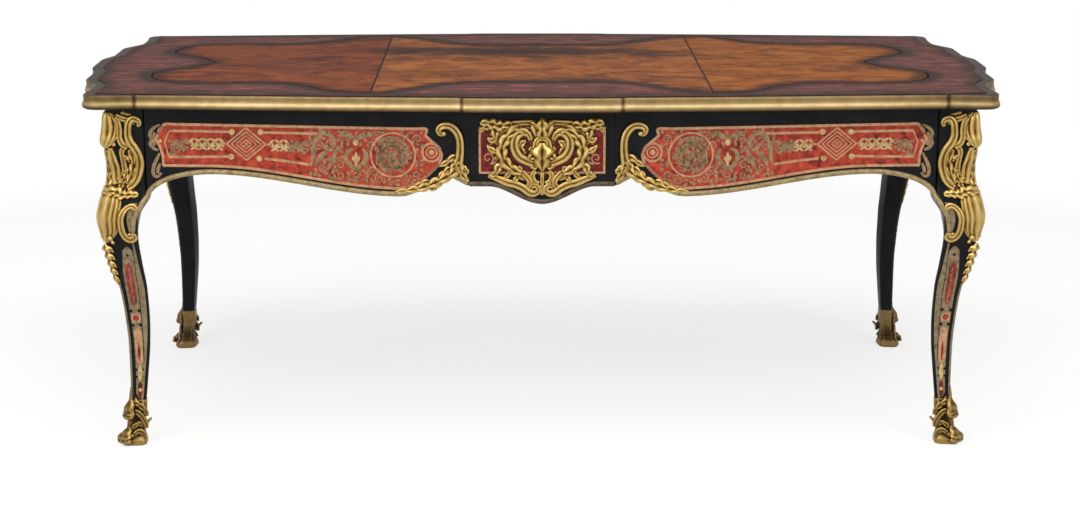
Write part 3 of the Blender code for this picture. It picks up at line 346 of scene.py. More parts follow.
def burrVeneer(name, light, mid, dark, turn):
    # burr veneer: tight swirling figure with dark eyes, polished over, darker towards its stained edge
    material, tree, shader, place = startMaterial(name, 0.55, 0.0, 0.02)
    lay = addNode(tree, "ShaderNodeMapping", {
        "Vector": place, "Rotation": (0.0, 0.0, turn), "Scale": (1.0, 1.9, 1.0)})
    cloud = addNode(tree, "ShaderNodeTexNoise", {
        "Vector": lay, "Scale": 1 / 0.16, "Detail": 7.0, "Roughness": 0.62, "Distortion": 1.6})
    curl = addNode(tree, "ShaderNodeTexNoise", {
        "Vector": lay, "Scale": 1 / 0.030, "Detail": 6.0, "Roughness": 0.7, "Distortion": 2.4})
    eyes = addNode(tree, "ShaderNodeTexVoronoi", {"Vector": lay, "Scale": 1 / 0.045, "Randomness": 1.0})
    eye = addNode(tree, "ShaderNodeMapRange", {
        "Value": eyes, "From Min": 0.02, "From Max": 0.16, "To Min": -0.16, "To Max": 0.0})
    figure = addNode(tree, "ShaderNodeMath", {0: cloud, 1: 0.62, 2: eye}, operation="MULTIPLY_ADD")
    figure = addNode(tree, "ShaderNodeMath", {0: curl, 1: 0.38, 2: figure}, operation="MULTIPLY_ADD")
    stain = addNode(tree, "ShaderNodeAttribute", attribute_name="stain").outputs["Fac"]
    toned = addNode(tree, "ShaderNodeMath", {0: stain, 1: -0.34, 2: figure}, operation="MULTIPLY_ADD")
    along = addNode(tree, "ShaderNodeSeparateXYZ", {"Vector": place})
    along = addNode(tree, "ShaderNodeMath", {0: along}, operation="ABSOLUTE")
    seam = addNode(tree, "ShaderNodeMath", {0: along, 1: table["seamX"], 2: 0.0022}, operation="COMPARE")
    toned = addNode(tree, "ShaderNodeMath", {0: seam, 1: -0.24, 2: toned}, operation="MULTIPLY_ADD")
    paint(tree, shader, toned, ((0.18, "#22130f"), (0.38, dark), (0.51, mid), (0.65, light)))
    roughen(tree, shader, curl, 0.0002, 0.12)
    return material


def borderVeneer():
    # rosewood cross-banding: purple brown with red streaks, shaded almost black beside the line
    material, tree, shader, place = startMaterial("borderVeneer", 0.55, 0.0, 0.02)
    lay = addNode(tree, "ShaderNodeMapping", {"Vector": place, "Scale": (1.0, 3.2, 1.0)})
    streak = addNode(tree, "ShaderNodeTexNoise", {
        "Vector": lay, "Scale": 1 / 0.07, "Detail": 8.0, "Roughness": 0.68, "Distortion": 1.1})
    stain = addNode(tree, "ShaderNodeAttribute", attribute_name="stain").outputs["Fac"]
    toned = addNode(tree, "ShaderNodeMath", {0: stain, 1: -0.40, 2: streak}, operation="MULTIPLY_ADD")
    paint(tree, shader, toned, (
        (0.10, "#2a1e1d"), (0.34, "#35231e"), (0.48, "#4f302b"), (0.58, "#6e3d38"), (0.74, "#874841")))
    roughen(tree, shader, streak, 0.0002, 0.12)
    return material


def blackLine():
    # dyed holly line: black, worn to brown grey in places
    material, tree, shader, place = startMaterial("blackLine", 0.60, 0.0, 0.0)
    toneAndPaintedLight = addNode(tree, "ShaderNodeTexNoise", {"Vector": place, "Scale": 1 / 0.05, "Detail": 5.0})
    paint(tree, shader, toneAndPaintedLight, ((0.35, "#171110"), (0.55, "#281c1a"), (0.72, "#43302a")))
    return material


def paleOak():
    # quarter-cut oak, oiled: straw brown with long straight grain and open pores
    material, tree, shader, place = startMaterial("paleOak", 0.58, 0.0, 0.3)
    lay = addNode(tree, "ShaderNodeMapping", {"Vector": place, "Scale": (1 / 0.006, 1 / 0.12, 1 / 0.006)})
    grain = addNode(tree, "ShaderNodeTexNoise", {"Vector": lay, "Scale": 1.0, "Detail": 5.0})
    paint(tree, shader, grain, ((0.28, "#6d4a28"), (0.50, "#a27a48"), (0.72, "#bd9862")))
    roughen(tree, shader, grain, 0.0005, 0.3)
    return material


def filedSteel():
    # filed and blacked lock steel: grey with fine file marks and brown spots
    material, tree, shader, place = startMaterial("filedSteel", 0.40, 1.0)
    lay = addNode(tree, "ShaderNodeMapping", {"Vector": place, "Scale": (1 / 0.0006, 1 / 0.02, 1 / 0.02)})
    marks = addNode(tree, "ShaderNodeTexNoise", {"Vector": lay, "Scale": 1.0, "Detail": 2.0})
    rust = addNode(tree, "ShaderNodeTexNoise", {"Vector": place, "Scale": 1 / 0.008, "Detail": 6.0})
    paint(tree, shader, rust, ((0.36, "#5a4a3c"), (0.50, "#77777a"), (0.70, "#9a9a9c")))
    roughen(tree, shader, marks, 0.0001, 0.4)
    return material


finishes = {
    "gilt": gildedBrass("gildedBrass", "#bfa366 #9e7d3c #785a2a #432e12 #190f06",
                        (0.0, 0.30, 0.52, 0.72, 1.0), 0.9, 0.34, 0.60),
    "footGilt": gildedBrass("wornGilding", "#957a45 #6a5227 #493417 #281b0b #100a04",
                            (0.0, 0.30, 0.50, 0.70, 1.0), 0.9, 0.36, 0.62),
    # darker copy of the gilding for the back feet: painted shade, as they stand under the table
    "shadedBackGilt": gildedBrass("paintedShadeGilding", "#7b6440 #544226 #382a16 #20150a #0e0904",
                            (0.0, 0.30, 0.50, 0.70, 1.0), 0.9, 0.42, 0.66),
    # mouldings: the pale stops show their painted highlight band, the dark stops their painted shade
    "moulding": gildedBrass("rubbedGilding", "#c4ad80 #a0875a #7f6942 #564428 #271c12",
                            (0.0, 0.20, 0.42, 0.65, 1.0), 0.7, 0.46, 0.62),
    "inlay": inlaidBrass("inlaidBrass", "#cb9d79", "#b18460", "#835d45"),
    "paleInlay": inlaidBrass("paleInlaidBrass", "#d6bb91", "#b89967", "#896b42"),
    "oliveInlay": inlaidBrass("tarnishedBrass", "#a3896a", "#8a7050", "#604b33"),
    "bead": inlaidBrass("rubbedBrass", "#a8926a", "#8d7a54", "#5c4c30"),
    "darkBrass": inlaidBrass("brownedBrass", "#968463", "#7b6b50", "#4f4433"),
    "smokedBrass": inlaidBrass("smokedBrass", "#6a5a48", "#4d4135", "#2e2620"),
    "shell": redShell("redShell", "#58180e", "#953123", "#b2462f"),
    # darker red: on the drawer and back centre panels partly painted shade for the shadows in the
    # cartouche's gaps, on the leg feet the shell's own dark red
    "darkShellAndPaintedShade": redShell("darkShellAndPaintedShade", "#280a08", "#591712", "#80281e"),
    "fadedShell": redShell("fadedShell", "#431610", "#7c2c22", "#9c4433"),
    "ebony": ebonisedWood(),
    "burrLeft": burrVeneer("burrVeneerLeft", "#814525", "#683219", "#3b1b10", 0.3),
    "burrCentre": burrVeneer("burrVeneerCentre", "#985f2b", "#7b4520", "#3f2214", -0.2),
    "burrRight": burrVeneer("burrVeneerRight", "#945b23", "#7d4519", "#47240f", 0.1),
    "border": borderVeneer(),
    "line": blackLine(),
    "oak": paleOak(),
    "steel": filedSteel(),
}
print("materials ready:", len(finishes))


# Camera, floor and light
view = {"place": (-0.0530, -5.0181, 1.5066), "yaw": -0.6148, "pitch": 13.340, "roll": 0.0806, "lens": 74.71}


def placing(place, *axes):
    # placing matrix from a place and three axes
    return Matrix.Translation(place) @ Matrix([[axis[row] for axis in axes] for row in range(3)]).to_4x4()


def setCamera():
    yaw, pitch, roll = (math.radians(view[key]) for key in ("yaw", "pitch", "roll"))
    level = math.cos(pitch)
    right = np.array((math.cos(yaw), math.sin(yaw), 0.0))
    ahead = np.array((-math.sin(yaw) * level, math.cos(yaw) * level, -math.sin(pitch)))
    up = np.cross(right, ahead)
    camera = bpy.data.objects.new("photoCamera", bpy.data.cameras.new("photoCamera"))
    camera.data.lens = view["lens"]
    camera.data.sensor_width = 36.0
    camera.data.sensor_fit = "HORIZONTAL"
    camera.matrix_world = placing(view["place"], right * math.cos(roll) + up * math.sin(roll),
                                  up * math.cos(roll) - right * math.sin(roll), -ahead)
    bpy.context.scene.collection.objects.link(camera)
    bpy.context.scene.camera = camera


# the pool keys place where the table's shadow shows on the floor: a painted shadow shape
studio = {
    "ambient": 0.42, "white": (1.0, 1.0, 1.0, 1.0), "paper": "#f3f2f1", "floorSize": 60.0, "floorNear": 1.4,
    "floorFar": 3.0, "floorLift": 0.16, "shadowPoolBack": 0.58, "shadowPoolHalf": (1.9, 0.40), "shadowPoolEdge": (0.5, 1.4),
    "shadowPoolGlow": (0.66, 0.77), "aim": (0.0, 0.0, 0.5),
}
softboxes = (           # place, size across and along, power in watts
    ((0.0, -1.4, 3.4), (4.2, 2.6), 120.0),
    ((-2.6, -3.6, 2.2), (1.6, 1.6), 46.0),
    ((2.9, -3.2, 1.9), (1.4, 1.4), 27.0),
)


def shownRays(tree):
    # 1 for the rays that see the backdrop as it is: camera, glossy and transmission
    seen = addNode(tree, "ShaderNodeLightPath").outputs
    shown = addNode(tree, "ShaderNodeMath", {0: seen["Is Camera Ray"], 1: seen["Is Glossy Ray"]},
                    operation="MAXIMUM")
    return addNode(tree, "ShaderNodeMath", {0: shown, 1: seen["Is Transmission Ray"]}, operation="MAXIMUM")


def setStudio():
    world = bpy.data.worlds.new("studio")
    world.use_nodes = True
    tree = world.node_tree
    tree.nodes.clear()
    ambient = addNode(tree, "ShaderNodeBackground", {
        "Color": studio["white"], "Strength": studio["ambient"]})
    backdrop = addNode(tree, "ShaderNodeBackground", {"Color": studio["white"], "Strength": 1.0})
    mix = addNode(tree, "ShaderNodeMixShader", {0: shownRays(tree), 1: ambient, 2: backdrop})
    addNode(tree, "ShaderNodeOutputWorld", {"Surface": mix})
    bpy.context.scene.world = world
    for number, (place, size, power) in enumerate(softboxes):
        lamp = bpy.data.lights.new("softbox%d" % number, "AREA")
        lamp.shape = "RECTANGLE"
        lamp.size, lamp.size_y = size
        lamp.energy = power
        item = bpy.data.objects.new(lamp.name, lamp)
        aim = np.array(studio["aim"]) - np.array(place)
        back = -aim / np.linalg.norm(aim)
        side = np.cross((0.0, 1.0, 0.0) if abs(back[2]) > 0.9 else (0.0, 0.0, 1.0), back)
        side = side / np.linalg.norm(side)
        item.matrix_world = placing(place, side, np.cross(back, side), back)
        bpy.context.scene.collection.objects.link(item)
    bpy.context.scene.view_settings.view_transform = "Standard"


def setFloor():
    half = studio["floorSize"] / 2
    mesh = bpy.data.meshes.new("floor")
    square = [(-half, -half, 0), (half, -half, 0), (half, half, 0), (-half, half, 0)]
    mesh.from_pydata(square, [], [(0, 1, 2, 3)])
    floor = bpy.data.objects.new("floor", mesh)
    bpy.context.scene.collection.objects.link(floor)
    # white paper with a soft shadow under the table, fading to plain white far off; the shadow shows most
    # inside an elliptical pool behind the middle and is washed out by glow elsewhere, a painted shadow
    # shape
    material = bpy.data.materials.new("paperSweep")
    material.use_nodes = True
    tree = material.node_tree
    tree.nodes.clear()
    place = addNode(tree, "ShaderNodeTexCoord").outputs["Object"]
    away = addNode(tree, "ShaderNodeVectorMath", {0: place}, operation="LENGTH").outputs["Value"]
    far = addNode(tree, "ShaderNodeMapRange", {
        "Value": away, "From Min": studio["floorNear"], "From Max": studio["floorFar"]},
        interpolation_type="SMOOTHSTEP")
    # painted shadow shape: less glow inside the pool, so the table's shadow shows more there
    wide, deep = studio["shadowPoolHalf"]
    shadowPool = addNode(tree, "ShaderNodeMapping", {
        "Vector": place, "Location": (0.0, -studio["shadowPoolBack"] / deep, 0.0),
        "Scale": (1 / wide, 1 / deep, 0.0)})
    out = addNode(tree, "ShaderNodeVectorMath", {0: shadowPool}, operation="LENGTH").outputs["Value"]
    start, stop = studio["shadowPoolEdge"]
    least, most = studio["shadowPoolGlow"]
    soft = addNode(tree, "ShaderNodeMapRange", {
        "Value": out, "From Min": start, "From Max": stop, "To Min": least, "To Max": most},
        interpolation_type="SMOOTHSTEP")
    far = addNode(tree, "ShaderNodeMath", {0: far, 1: soft}, operation="MAXIMUM")
    shown = shownRays(tree)
    paper = addNode(tree, "ShaderNodeBsdfDiffuse", {"Color": linear(studio["paper"])})
    lift = addNode(tree, "ShaderNodeMath", {0: shown, 1: studio["floorLift"]}, operation="MULTIPLY")
    glow = addNode(tree, "ShaderNodeEmission", {"Color": studio["white"], "Strength": lift})
    near = addNode(tree, "ShaderNodeAddShader", {0: paper, 1: glow})
    white = addNode(tree, "ShaderNodeEmission", {"Color": studio["white"], "Strength": 1.0})
    fade = addNode(tree, "ShaderNodeMath", {0: far, 1: shown}, operation="MULTIPLY")
    mix = addNode(tree, "ShaderNodeMixShader", {0: fade, 1: near, 2: white})
    addNode(tree, "ShaderNodeOutputMaterial", {"Surface": mix})
    mesh.materials.append(material)


setCamera()
setStudio()
setFloor()
print("camera, floor and light ready")


# Meshes and pieces
def loft(rings, capped=True):
    count = len(rings[0])
    points = [tuple(point) for ring in rings for point in ring]
    faces = []
    for row in range(len(rings) - 1):
        for k in range(count):
            a = row * count + k
            b = row * count + (k + 1) % count
            faces.append((a, b, b + count, a + count))
    if capped:
        faces.append(tuple(reversed(range(count))))
        faces.append(tuple(range(len(points) - count, len(points))))
    return points, faces


def joined(name, solids):
    # one mesh of several closed solids, doubles merged and every face turned outwards
    points, faces = [], []
    for solidPoints, solidFaces in solids:
        start = len(points)
        points += solidPoints
        faces += [tuple(start + k for k in face) for face in solidFaces]
    mesh = bpy.data.meshes.new(name)
    mesh.from_pydata(points, [], faces)
    shape = bmesh.new()
    shape.from_mesh(mesh)
    bmesh.ops.remove_doubles(shape, verts=shape.verts, dist=1e-7)
    bmesh.ops.recalc_face_normals(shape, faces=shape.faces)
    shape.to_mesh(mesh)
    shape.free()
    return mesh


def spots(mesh, kind="co"):
    values = np.empty(len(mesh.vertices) * 3)
    mesh.vertices.foreach_get(kind, values)
    return values.reshape(-1, 3)


def tint(mesh, name, values):
    layer = mesh.attributes.new(name, "FLOAT", "POINT")
    layer.data.foreach_set("value", np.asarray(values, np.float32))


def mirrored(mesh, sx, sy):
    copy = mesh.copy()
    copy.vertices.foreach_set("co", (spots(copy) * (sx, sy, 1)).ravel())
    if sx * sy < 0:
        copy.flip_normals()
    copy.update()
    return copy


softCrease = 32.0           # degrees; flatter edges are shaded smooth


def dress(name, mesh, finish, body="table", nodes=(), crease=softCrease):
    # a piece of the table: shown, riding on its body, standing for the nodes that it replaces
    mesh.name = name
    mesh.materials.clear()
    mesh.materials.append(finishes[finish])
    mesh.shade_smooth()
    mesh.set_sharp_from_angle(angle=math.radians(crease))
    piece = bpy.data.objects.new(name, mesh)
    bpy.context.scene.collection.objects.link(piece)
    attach(piece, body)
    if nodes:
        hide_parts(*nodes)
    return piece


def atCorners(name, mesh, finish, node="", backFinish="", crease=softCrease):
    # the same piece at all four corners, each for the node of its corner
    for corner, sx, sy in corners:
        shown = backFinish if backFinish and sy < 0 else finish
        nodes = [node + corner] if node else ()
        dress(name + "." + corner, mirrored(mesh, sx, sy), shown, nodes=nodes, crease=crease)


# Carcass
boards = {"chamfer": 0.0012, "stations": 150, "middle": 60, "ends": 70, "drawer": 90}


def board(places, face, lower, upper, outer, inner):
    # bent board with eased edges: places along a face, between two depths behind it
    c = boards["chamfer"]
    rings = []
    for place in places:
        low, high = topZ - lower(place), topZ - upper
        section = (
            (low, outer + c), (low + c, outer), (high - c, outer), (high, outer + c),
            (high, inner - c), (high - c, inner), (low + c, inner), (low, inner - c),
        )
        rings.append([face(place, topZ - z, -depth) for z, depth in section])
    return loft(rings)


def crowded(start, stop, count):
    # places that crowd towards the stop, where an arch turns upright
    return [start + (stop - start) * math.sin(math.pi / 2 * k / (count - 1)) for k in range(count)]


def makeCarcass():
    gap = table["gap"]
    depths = (gap, 0.0, table["apronThick"])        # upper edge, then outer and inner face
    half = apronEdge["drawerHalf"]
    side = crowded(half + gap, innerX - gap, boards["stations"])
    right = joined("apron", [board(side, onFrieze, apronDrop, *depths)])
    for hand, sx in hands:
        dress("apronFront" + hand.title(), mirrored(right, sx, 1), "ebony",
              nodes=["apron_front_" + hand])
    whole = [-x for x in reversed(side)] + list(np.linspace(-half, half, boards["middle"])) + side
    back = joined("apron", [board(whole, onFrieze, apronDrop, *depths)])
    dress("apronBack", mirrored(back, 1, -1), "ebony", nodes=["apron_back"])
    side = crowded(0.0, innerY - gap, boards["ends"])
    end = joined("apron", [board([-y for y in reversed(side[1:])] + side, onEnd, endDrop, *depths)])
    for hand, sx in hands:
        dress("apronEnd" + hand.title(), mirrored(end, sx, 1), "ebony",
              nodes=["apron_end_" + hand])
    leg = joined("leg", [loft([legRing(z) for z in legHeights])])
    atCorners("leg", leg, "ebony", "leg_")


def legRing(z, grow=0.0):
    ring = []
    for x, y, radius, first, turn in legCorners(z):
        for share in np.linspace(0.0, 1.0, legShape["arcSteps"]):
            angle = first + share * turn
            ring.append((x + (radius + grow) * math.cos(angle), y + (radius + grow) * math.sin(angle), z))
    return ring


def makeDrawerFront():
    half = apronEdge["drawerHalf"] - apronEdge["reveal"]
    inner = friezeFront(half) - apronEdge["drawerThick"]
    c = boards["chamfer"]
    rings = []
    for x in np.linspace(-half, half, boards["drawer"]):
        low, high = topZ - apronDrop(x), topZ - apronEdge["reveal"]
        y = -friezeFront(x)
        rings.append([
            (x, y + c, low), (x, y, low + c), (x, y, high - c), (x, y + c, high),
            (x, -inner, high), (x, -inner, low)])
    dress("drawerFront", joined("front", [loft(rings)]), "ebony", "drawer",
          ["drawer_front"])


makeCarcass()
makeDrawerFront()
plain = {           # pieces that keep their solids, by finish
    "oak": ("drawer_side_left", "drawer_side_right", "drawer_back", "drawer_bottom", "front_top_rail",
            "drawer_runner_left", "drawer_runner_right", "top_core"),
    "steel": ("drawer_lock", "lock_bolt"),
}
for finish, names in plain.items():
    for name in names:
        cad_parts[name].data.materials.clear()
        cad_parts[name].data.materials.append(finishes[finish])
print("carcass ready")


# Brass edge of the top
moulding = {
    "width": 0.028, "jointX": 0.165, "step": 0.006, "earSteps": 14, "crease": 50.0, "nick": 0.42,
    "section": (
        (0.0280, 0.00), (0.0070, 0.00), (0.0028, 0.05), (0.0008, 0.13), (0.0000, 0.22), (0.0003, 0.31),
        (0.0012, 0.39), (0.0024, 0.46), (0.0033, 0.54), (0.0037, 0.62), (0.0037, 0.70), (0.0034, 0.78),
        (0.0032, 0.85), (0.0036, 0.90), (0.0050, 0.94), (0.0080, 0.95), (0.0280, 0.95)),
    # colour of each row of the section: a painted highlight just above the bead's fullest point, painted
    # shade under the bead, darker on the top face
    "dirtAndPaintedLight": (
        0.6, 0.85, 0.72, 0.52, 0.32, 0.12, 0.04, 0.14, 0.30, 0.36, 0.38, 0.36, 0.34, 0.40, 0.58, 0.82, 0.9),
    # painted shade on the upper rows of the corner and end pieces, deeper towards the back, and over the
    # whole section towards the ends
    "upperRows": 5, "cornerTopShade": 0.30, "endTopShade": 1.0, "backFrom": -0.27, "backRun": 0.20,
    "leastTopShade": 0.3, "endFrom": 0.66, "endRun": 0.22, "shadeTowardsEnds": 0.20,
}


def frontStation(x):
    return lambda inset: (x, inset - topFront(x))


def endStation(y):
    return lambda inset: (topEnd(y) - inset, y)


def earStation(turn):
    radius = table["earRadius"]
    return lambda inset: (cornerX - radius + (radius - inset) * math.cos(turn),
                          radius - cornerY + (radius - inset) * math.sin(turn))


def steps(start, stop):
    return np.linspace(start, stop, max(3, int(abs(stop - start) / moulding["step"])))


def cornerStations(startX, stopY):
    radius = table["earRadius"]
    stations = [frontStation(x) for x in steps(startX, cornerX - radius)]
    stations += [earStation(turn) for turn in np.linspace(-math.pi / 2, 0.0, moulding["earSteps"])[1:]]
    return stations + [endStation(y) for y in steps(radius - cornerY, -stopY)[1:]]


def mouldingPiece(name, node, stations, sx=1, sy=1, paintedShade=0.0):
    # one length of the edge, browner at its joints; painted shade towards the ends, and on its upper rows
    # painted shade that deepens towards the back
    m = moulding
    rings = []
    for station in stations:
        rings.append([(*station(inset), topZ + share * table["topThick"]) for inset, share in m["section"]])
    mesh = joined(name, [loft(rings)])
    places = spots(mesh)
    toneAndPaintedLight = np.tile(m["dirtAndPaintedLight"], (len(stations), 1))
    # painted shade on the upper rows, growing towards the back
    shadeBehind = np.clip((places[::len(m["dirtAndPaintedLight"]), 1] - m["backFrom"]) / m["backRun"], m["leastTopShade"], 1)
    upper = toneAndPaintedLight[:, -m["upperRows"]:]
    toneAndPaintedLight[:, -m["upperRows"]:] = np.maximum(upper, paintedShade * shadeBehind[:, None])
    # painted shade towards the ends of the table
    towardsEnds = np.clip((np.abs(places[:, 0]) - m["endFrom"]) / m["endRun"], 0, 1)
    toneAndPaintedLight += m["shadeTowardsEnds"] * towardsEnds.reshape(toneAndPaintedLight.shape)
    toneAndPaintedLight[[0, -1]] += m["nick"]
    tint(mesh, "grimeAndPaintedLight", np.clip(toneAndPaintedLight.ravel(), 0, 1))
    dress(name, mirrored(mesh, sx, sy), "moulding", nodes=[node], crease=m["crease"])


def makeMouldings():
    m = moulding
    gap = table["gap"]
    endX = cornerX - table["cornerRunX"]
    endY = cornerY - table["cornerRunY"]
    middle = [frontStation(x) for x in steps(gap - m["jointX"], m["jointX"] - gap)]
    side = [frontStation(x) for x in steps(m["jointX"] + gap, endX - gap)]
    corner = cornerStations(endX + gap, endY + gap)
    end = [endStation(y) for y in steps(gap - endY, endY - gap)]
    for row, sy in (("front", 1), ("back", -1)):
        mouldingPiece("moulding.%s.centre" % row, "edge_moulding_%s_centre" % row, middle, 1, sy)
        for hand, sx in hands:
            at = (row, hand)
            mouldingPiece("moulding.%s.%s" % at, "edge_moulding_%s_%s" % at, side, sx, sy)
            mouldingPiece("mouldingCorner.%s.%s" % at, "edge_corner_%s_%s" % at, corner, sx, sy,
                          m["cornerTopShade"])
    for hand, sx in hands:
        mouldingPiece("moulding.end." + hand, "edge_moulding_end_" + hand, end, sx, 1, m["endTopShade"])


makeMouldings()
print("edge mouldings ready")


# Veneered top: polar sheets between the field, its black line and the brass edge
veneer = {
    "thick": 0.0015, "line": 0.0045, "rows": 26, "borderRows": 14, "lineRows": 3, "eye": 0.004,
    "lip": 0.010, "lipRun": 0.10, "fieldSteps": 190, "frontSteps": 260, "earSteps": 16, "endSteps": 120,
    "shade": 0.021, "fieldShade": 0.6, "endFrom": 0.78, "endRun": 0.16, "endRim": (0.55, 0.022),
    "rim": (0.46, 0.05), "patch": 0.75, "patchPlace": (-0.06, 0.17), "patchRun": (0.30, 0.075),
    "field": (
        (0.728, 0.000), (0.768, 0.072), (0.815, 0.115), (0.842, 0.165), (0.836, 0.215), (0.812, 0.262),
        (0.770, 0.288), (0.700, 0.298), (0.610, 0.292), (0.545, 0.305), (0.495, 0.340), (0.450, 0.392),
        (0.400, 0.424), (0.345, 0.430), (0.300, 0.405), (0.252, 0.355), (0.205, 0.308), (0.150, 0.285),
        (0.080, 0.278), (0.000, 0.283)),
}


def outlineReach(outline, turns):
    # distance of a closed outline from the middle in each direction
    outline = np.array(outline)
    angles = np.unwrap(np.arctan2(outline[:, 1], outline[:, 0]))
    reach = np.hypot(outline[:, 0], outline[:, 1])
    order = np.argsort(angles % (2 * math.pi))
    return np.interp(turns, (angles % (2 * math.pi))[order], reach[order], period=2 * math.pi)


def roundQuarter(quarter):
    # closed loop from a quarter that runs from the end middle to the back middle
    right = [(x, -y) for x, y in reversed(quarter[1:])] + list(quarter)
    return right[:-1] + [(-x, -y) for x, y in right[:-1]]


def fieldOutline():
    keys = [(k, x, y) for k, (x, y) in enumerate(veneer["field"])]
    places = np.linspace(0, len(keys) - 1, veneer["fieldSteps"])
    return roundQuarter([tuple(follow(keys, place)) for place in places])


def edgeOutline(inset, lip):
    # inside the brass at the ends, and nearer the edge along the front and back
    v = veneer
    radius = table["earRadius"]
    points = []
    for x in np.linspace(0.0, cornerX - radius, v["frontSteps"]):
        shown = lip + (inset - lip) * ease((x - cornerX + table["cornerRunX"]) / v["lipRun"])
        points.append(frontStation(x)(shown))
    quarter = [earStation(turn) for turn in np.linspace(-math.pi / 2, 0.0, v["earSteps"])[1:]]
    quarter += [endStation(y) for y in np.linspace(radius - cornerY, 0.0, v["endSteps"])[1:]]
    points += [station(inset) for station in quarter]
    return roundQuarter([(x, -y) for x, y in reversed(points)])


def distanceTo(outline, places):
    away = np.full(len(places), np.inf)
    for x, y in outline:
        away = np.minimum(away, np.hypot(places[:, 0] - x, places[:, 1] - y))
    return away


def bell(distance, run):
    return np.exp(-(distance / run) ** 2)


def sheet(name, turns, inner, outer, rows):
    # closed thin sheet between two reaches
    high = table["height"]
    low = high - veneer["thick"]
    rings = []
    for share in np.linspace(0.0, 1.0, rows):
        reach = inner + (outer - inner) * share
        rings.append([(r * math.cos(t), r * math.sin(t), high) for r, t in zip(reach, turns)])
    rings.append([(x, y, low) for x, y, z in rings[-1]])
    rings.append([(x, y, low) for x, y, z in rings[0]])
    rings.append(rings[0])
    return joined(name, [loft(rings, capped=False)])


def cutSheet(mesh, limit, keepAbove):
    # part of a sheet on one side of a seam, closed again
    copy = mesh.copy()
    shape = bmesh.new()
    shape.from_mesh(copy)
    everything = shape.verts[:] + shape.edges[:] + shape.faces[:]
    cut = bmesh.ops.bisect_plane(shape, geom=everything, plane_co=(limit, 0, 0), plane_no=(1, 0, 0),
                                 clear_inner=keepAbove, clear_outer=not keepAbove)
    rim = [item for item in cut["geom_cut"] if isinstance(item, bmesh.types.BMEdge)]
    bmesh.ops.edgeloop_fill(shape, edges=rim)
    shape.to_mesh(copy)
    shape.free()
    return copy


def makeTop():
    v = veneer
    gap = table["gap"]
    seam = table["seamX"]
    field = fieldOutline()
    turns = np.sort(np.arctan2(*np.array(field).T[::-1]) % (2 * math.pi))
    fieldReach = outlineReach(field, turns)
    lineReach = fieldReach + v["line"]
    edge = edgeOutline(moulding["width"] + gap, v["lip"])
    border = sheet("border", turns, lineReach, outlineReach(edge, turns), v["borderRows"])
    places = spots(border)
    rim = distanceTo(edge, places)
    atEnds = np.clip((np.abs(places[:, 0]) - v["endFrom"]) / v["endRun"], 0, 1)
    shade = bell(distanceTo(field, places) - v["line"], v["shade"])
    dark, run = v["endRim"]
    shade = np.maximum(shade, dark * atEnds * bell(rim, run))
    dark, run = v["rim"]
    tint(border, "stain", np.maximum(shade, dark * (1 - atEnds) * bell(rim, run)))
    dress("borderVeneer", border, "border", nodes=["top_border_veneer"])
    line = sheet("line", turns, fieldReach, lineReach, v["lineRows"])
    dress("fieldLine", line, "line", nodes=["top_stringing"])
    whole = sheet("field", turns, fieldReach * v["eye"], fieldReach, v["rows"])
    places = spots(whole)
    stain = v["fieldShade"] * bell(distanceTo(field, places), v["shade"])
    far = (places[:, :2] - v["patchPlace"]) / v["patchRun"]
    tint(whole, "stain", np.maximum(stain, v["patch"] * np.exp(-far[:, 0] ** 2 - far[:, 1] ** 2)))
    left = cutSheet(whole, -seam - gap, False)
    right = cutSheet(whole, seam + gap, True)
    centre = cutSheet(cutSheet(whole, seam - gap, False), gap - seam, True)
    for hand, mesh in (("Left", left), ("Centre", centre), ("Right", right)):
        dress("field" + hand, mesh, "burr" + hand, nodes=["top_field_" + hand.lower()])


makeTop()
print("veneered top ready")


# Castings: strokes of (across, drop, lift, half width) in millimetres, fused and chased
casting = {
    "voxel": 0.0009, "step": 0.0022, "sides": 16, "flutedSides": 64, "seat": -0.0006, "least": 0.0006,
    "smooth": 2, "keep": 0.45, "flat": 0.68, "crease": 60.0, "groove": (0.55, 0.34), "midrib": (0.45, 0.20),
    "veins": (0.20, 3.2), "lobe": (0.78, 0.34), "flute": 0.34, "rounds": 26, "blend": 0.6, "depth": 0.0011,
    # level and the gain after it set how dark the hollows are painted: brown dirt together with painted
    # shade
    "level": 0.36, "paintedShade": 0.62,
}


def sideways(path, k):
    # direction square to a path at one of its rows
    before = path[max(0, k - 1)]
    after = path[min(len(path) - 1, k + 1)]
    run = max(1e-9, math.hypot(after[0] - before[0], after[1] - before[1]))
    return (after[1] - before[1]) / run, (before[0] - after[0]) / run


def smoothRows(rows, step):
    # rows of a curve that runs through the rows given
    rows = np.array(rows, float)
    rows = np.vstack([2 * rows[0] - rows[1], rows, 2 * rows[-1] - rows[-2]])
    path = []
    for k in range(1, len(rows) - 2):
        a, b, c, d = rows[k - 1:k + 3]
        count = max(2, int(math.hypot(*(c - b)[:2]) / step))
        for t in np.arange(count) / count:
            bend = (2 * a - 5 * b + 4 * c - d) * t ** 2
            path.append(0.5 * (2 * b + (c - a) * t + bend + (3 * b - a - 3 * c + d) * t ** 3))
    path.append(rows[-2])
    return np.array(path)


def relief(kind, turn, share, lobes):
    # height of a section against a plain round one, and its width
    c = math.cos(turn)
    if kind == "scroll":
        deep, wide = casting["groove"]
        return 1 - deep * math.exp(-(c / wide) ** 2), 1.0
    if kind == "leaf":
        deep, wide = casting["midrib"]
        tall, lean = casting["veins"]
        least, more = casting["lobe"]
        vein = tall * math.cos(2 * math.pi * lobes * share + lean * abs(c))
        beat = abs(math.sin(math.pi * lobes * share))
        return (1 - deep * math.exp(-(c / wide) ** 2)) * (1 + vein), least + more * beat
    if kind == "fluted":
        return 1 + casting["flute"] * math.cos(lobes * turn), 1.0
    return 1.0, 1.0


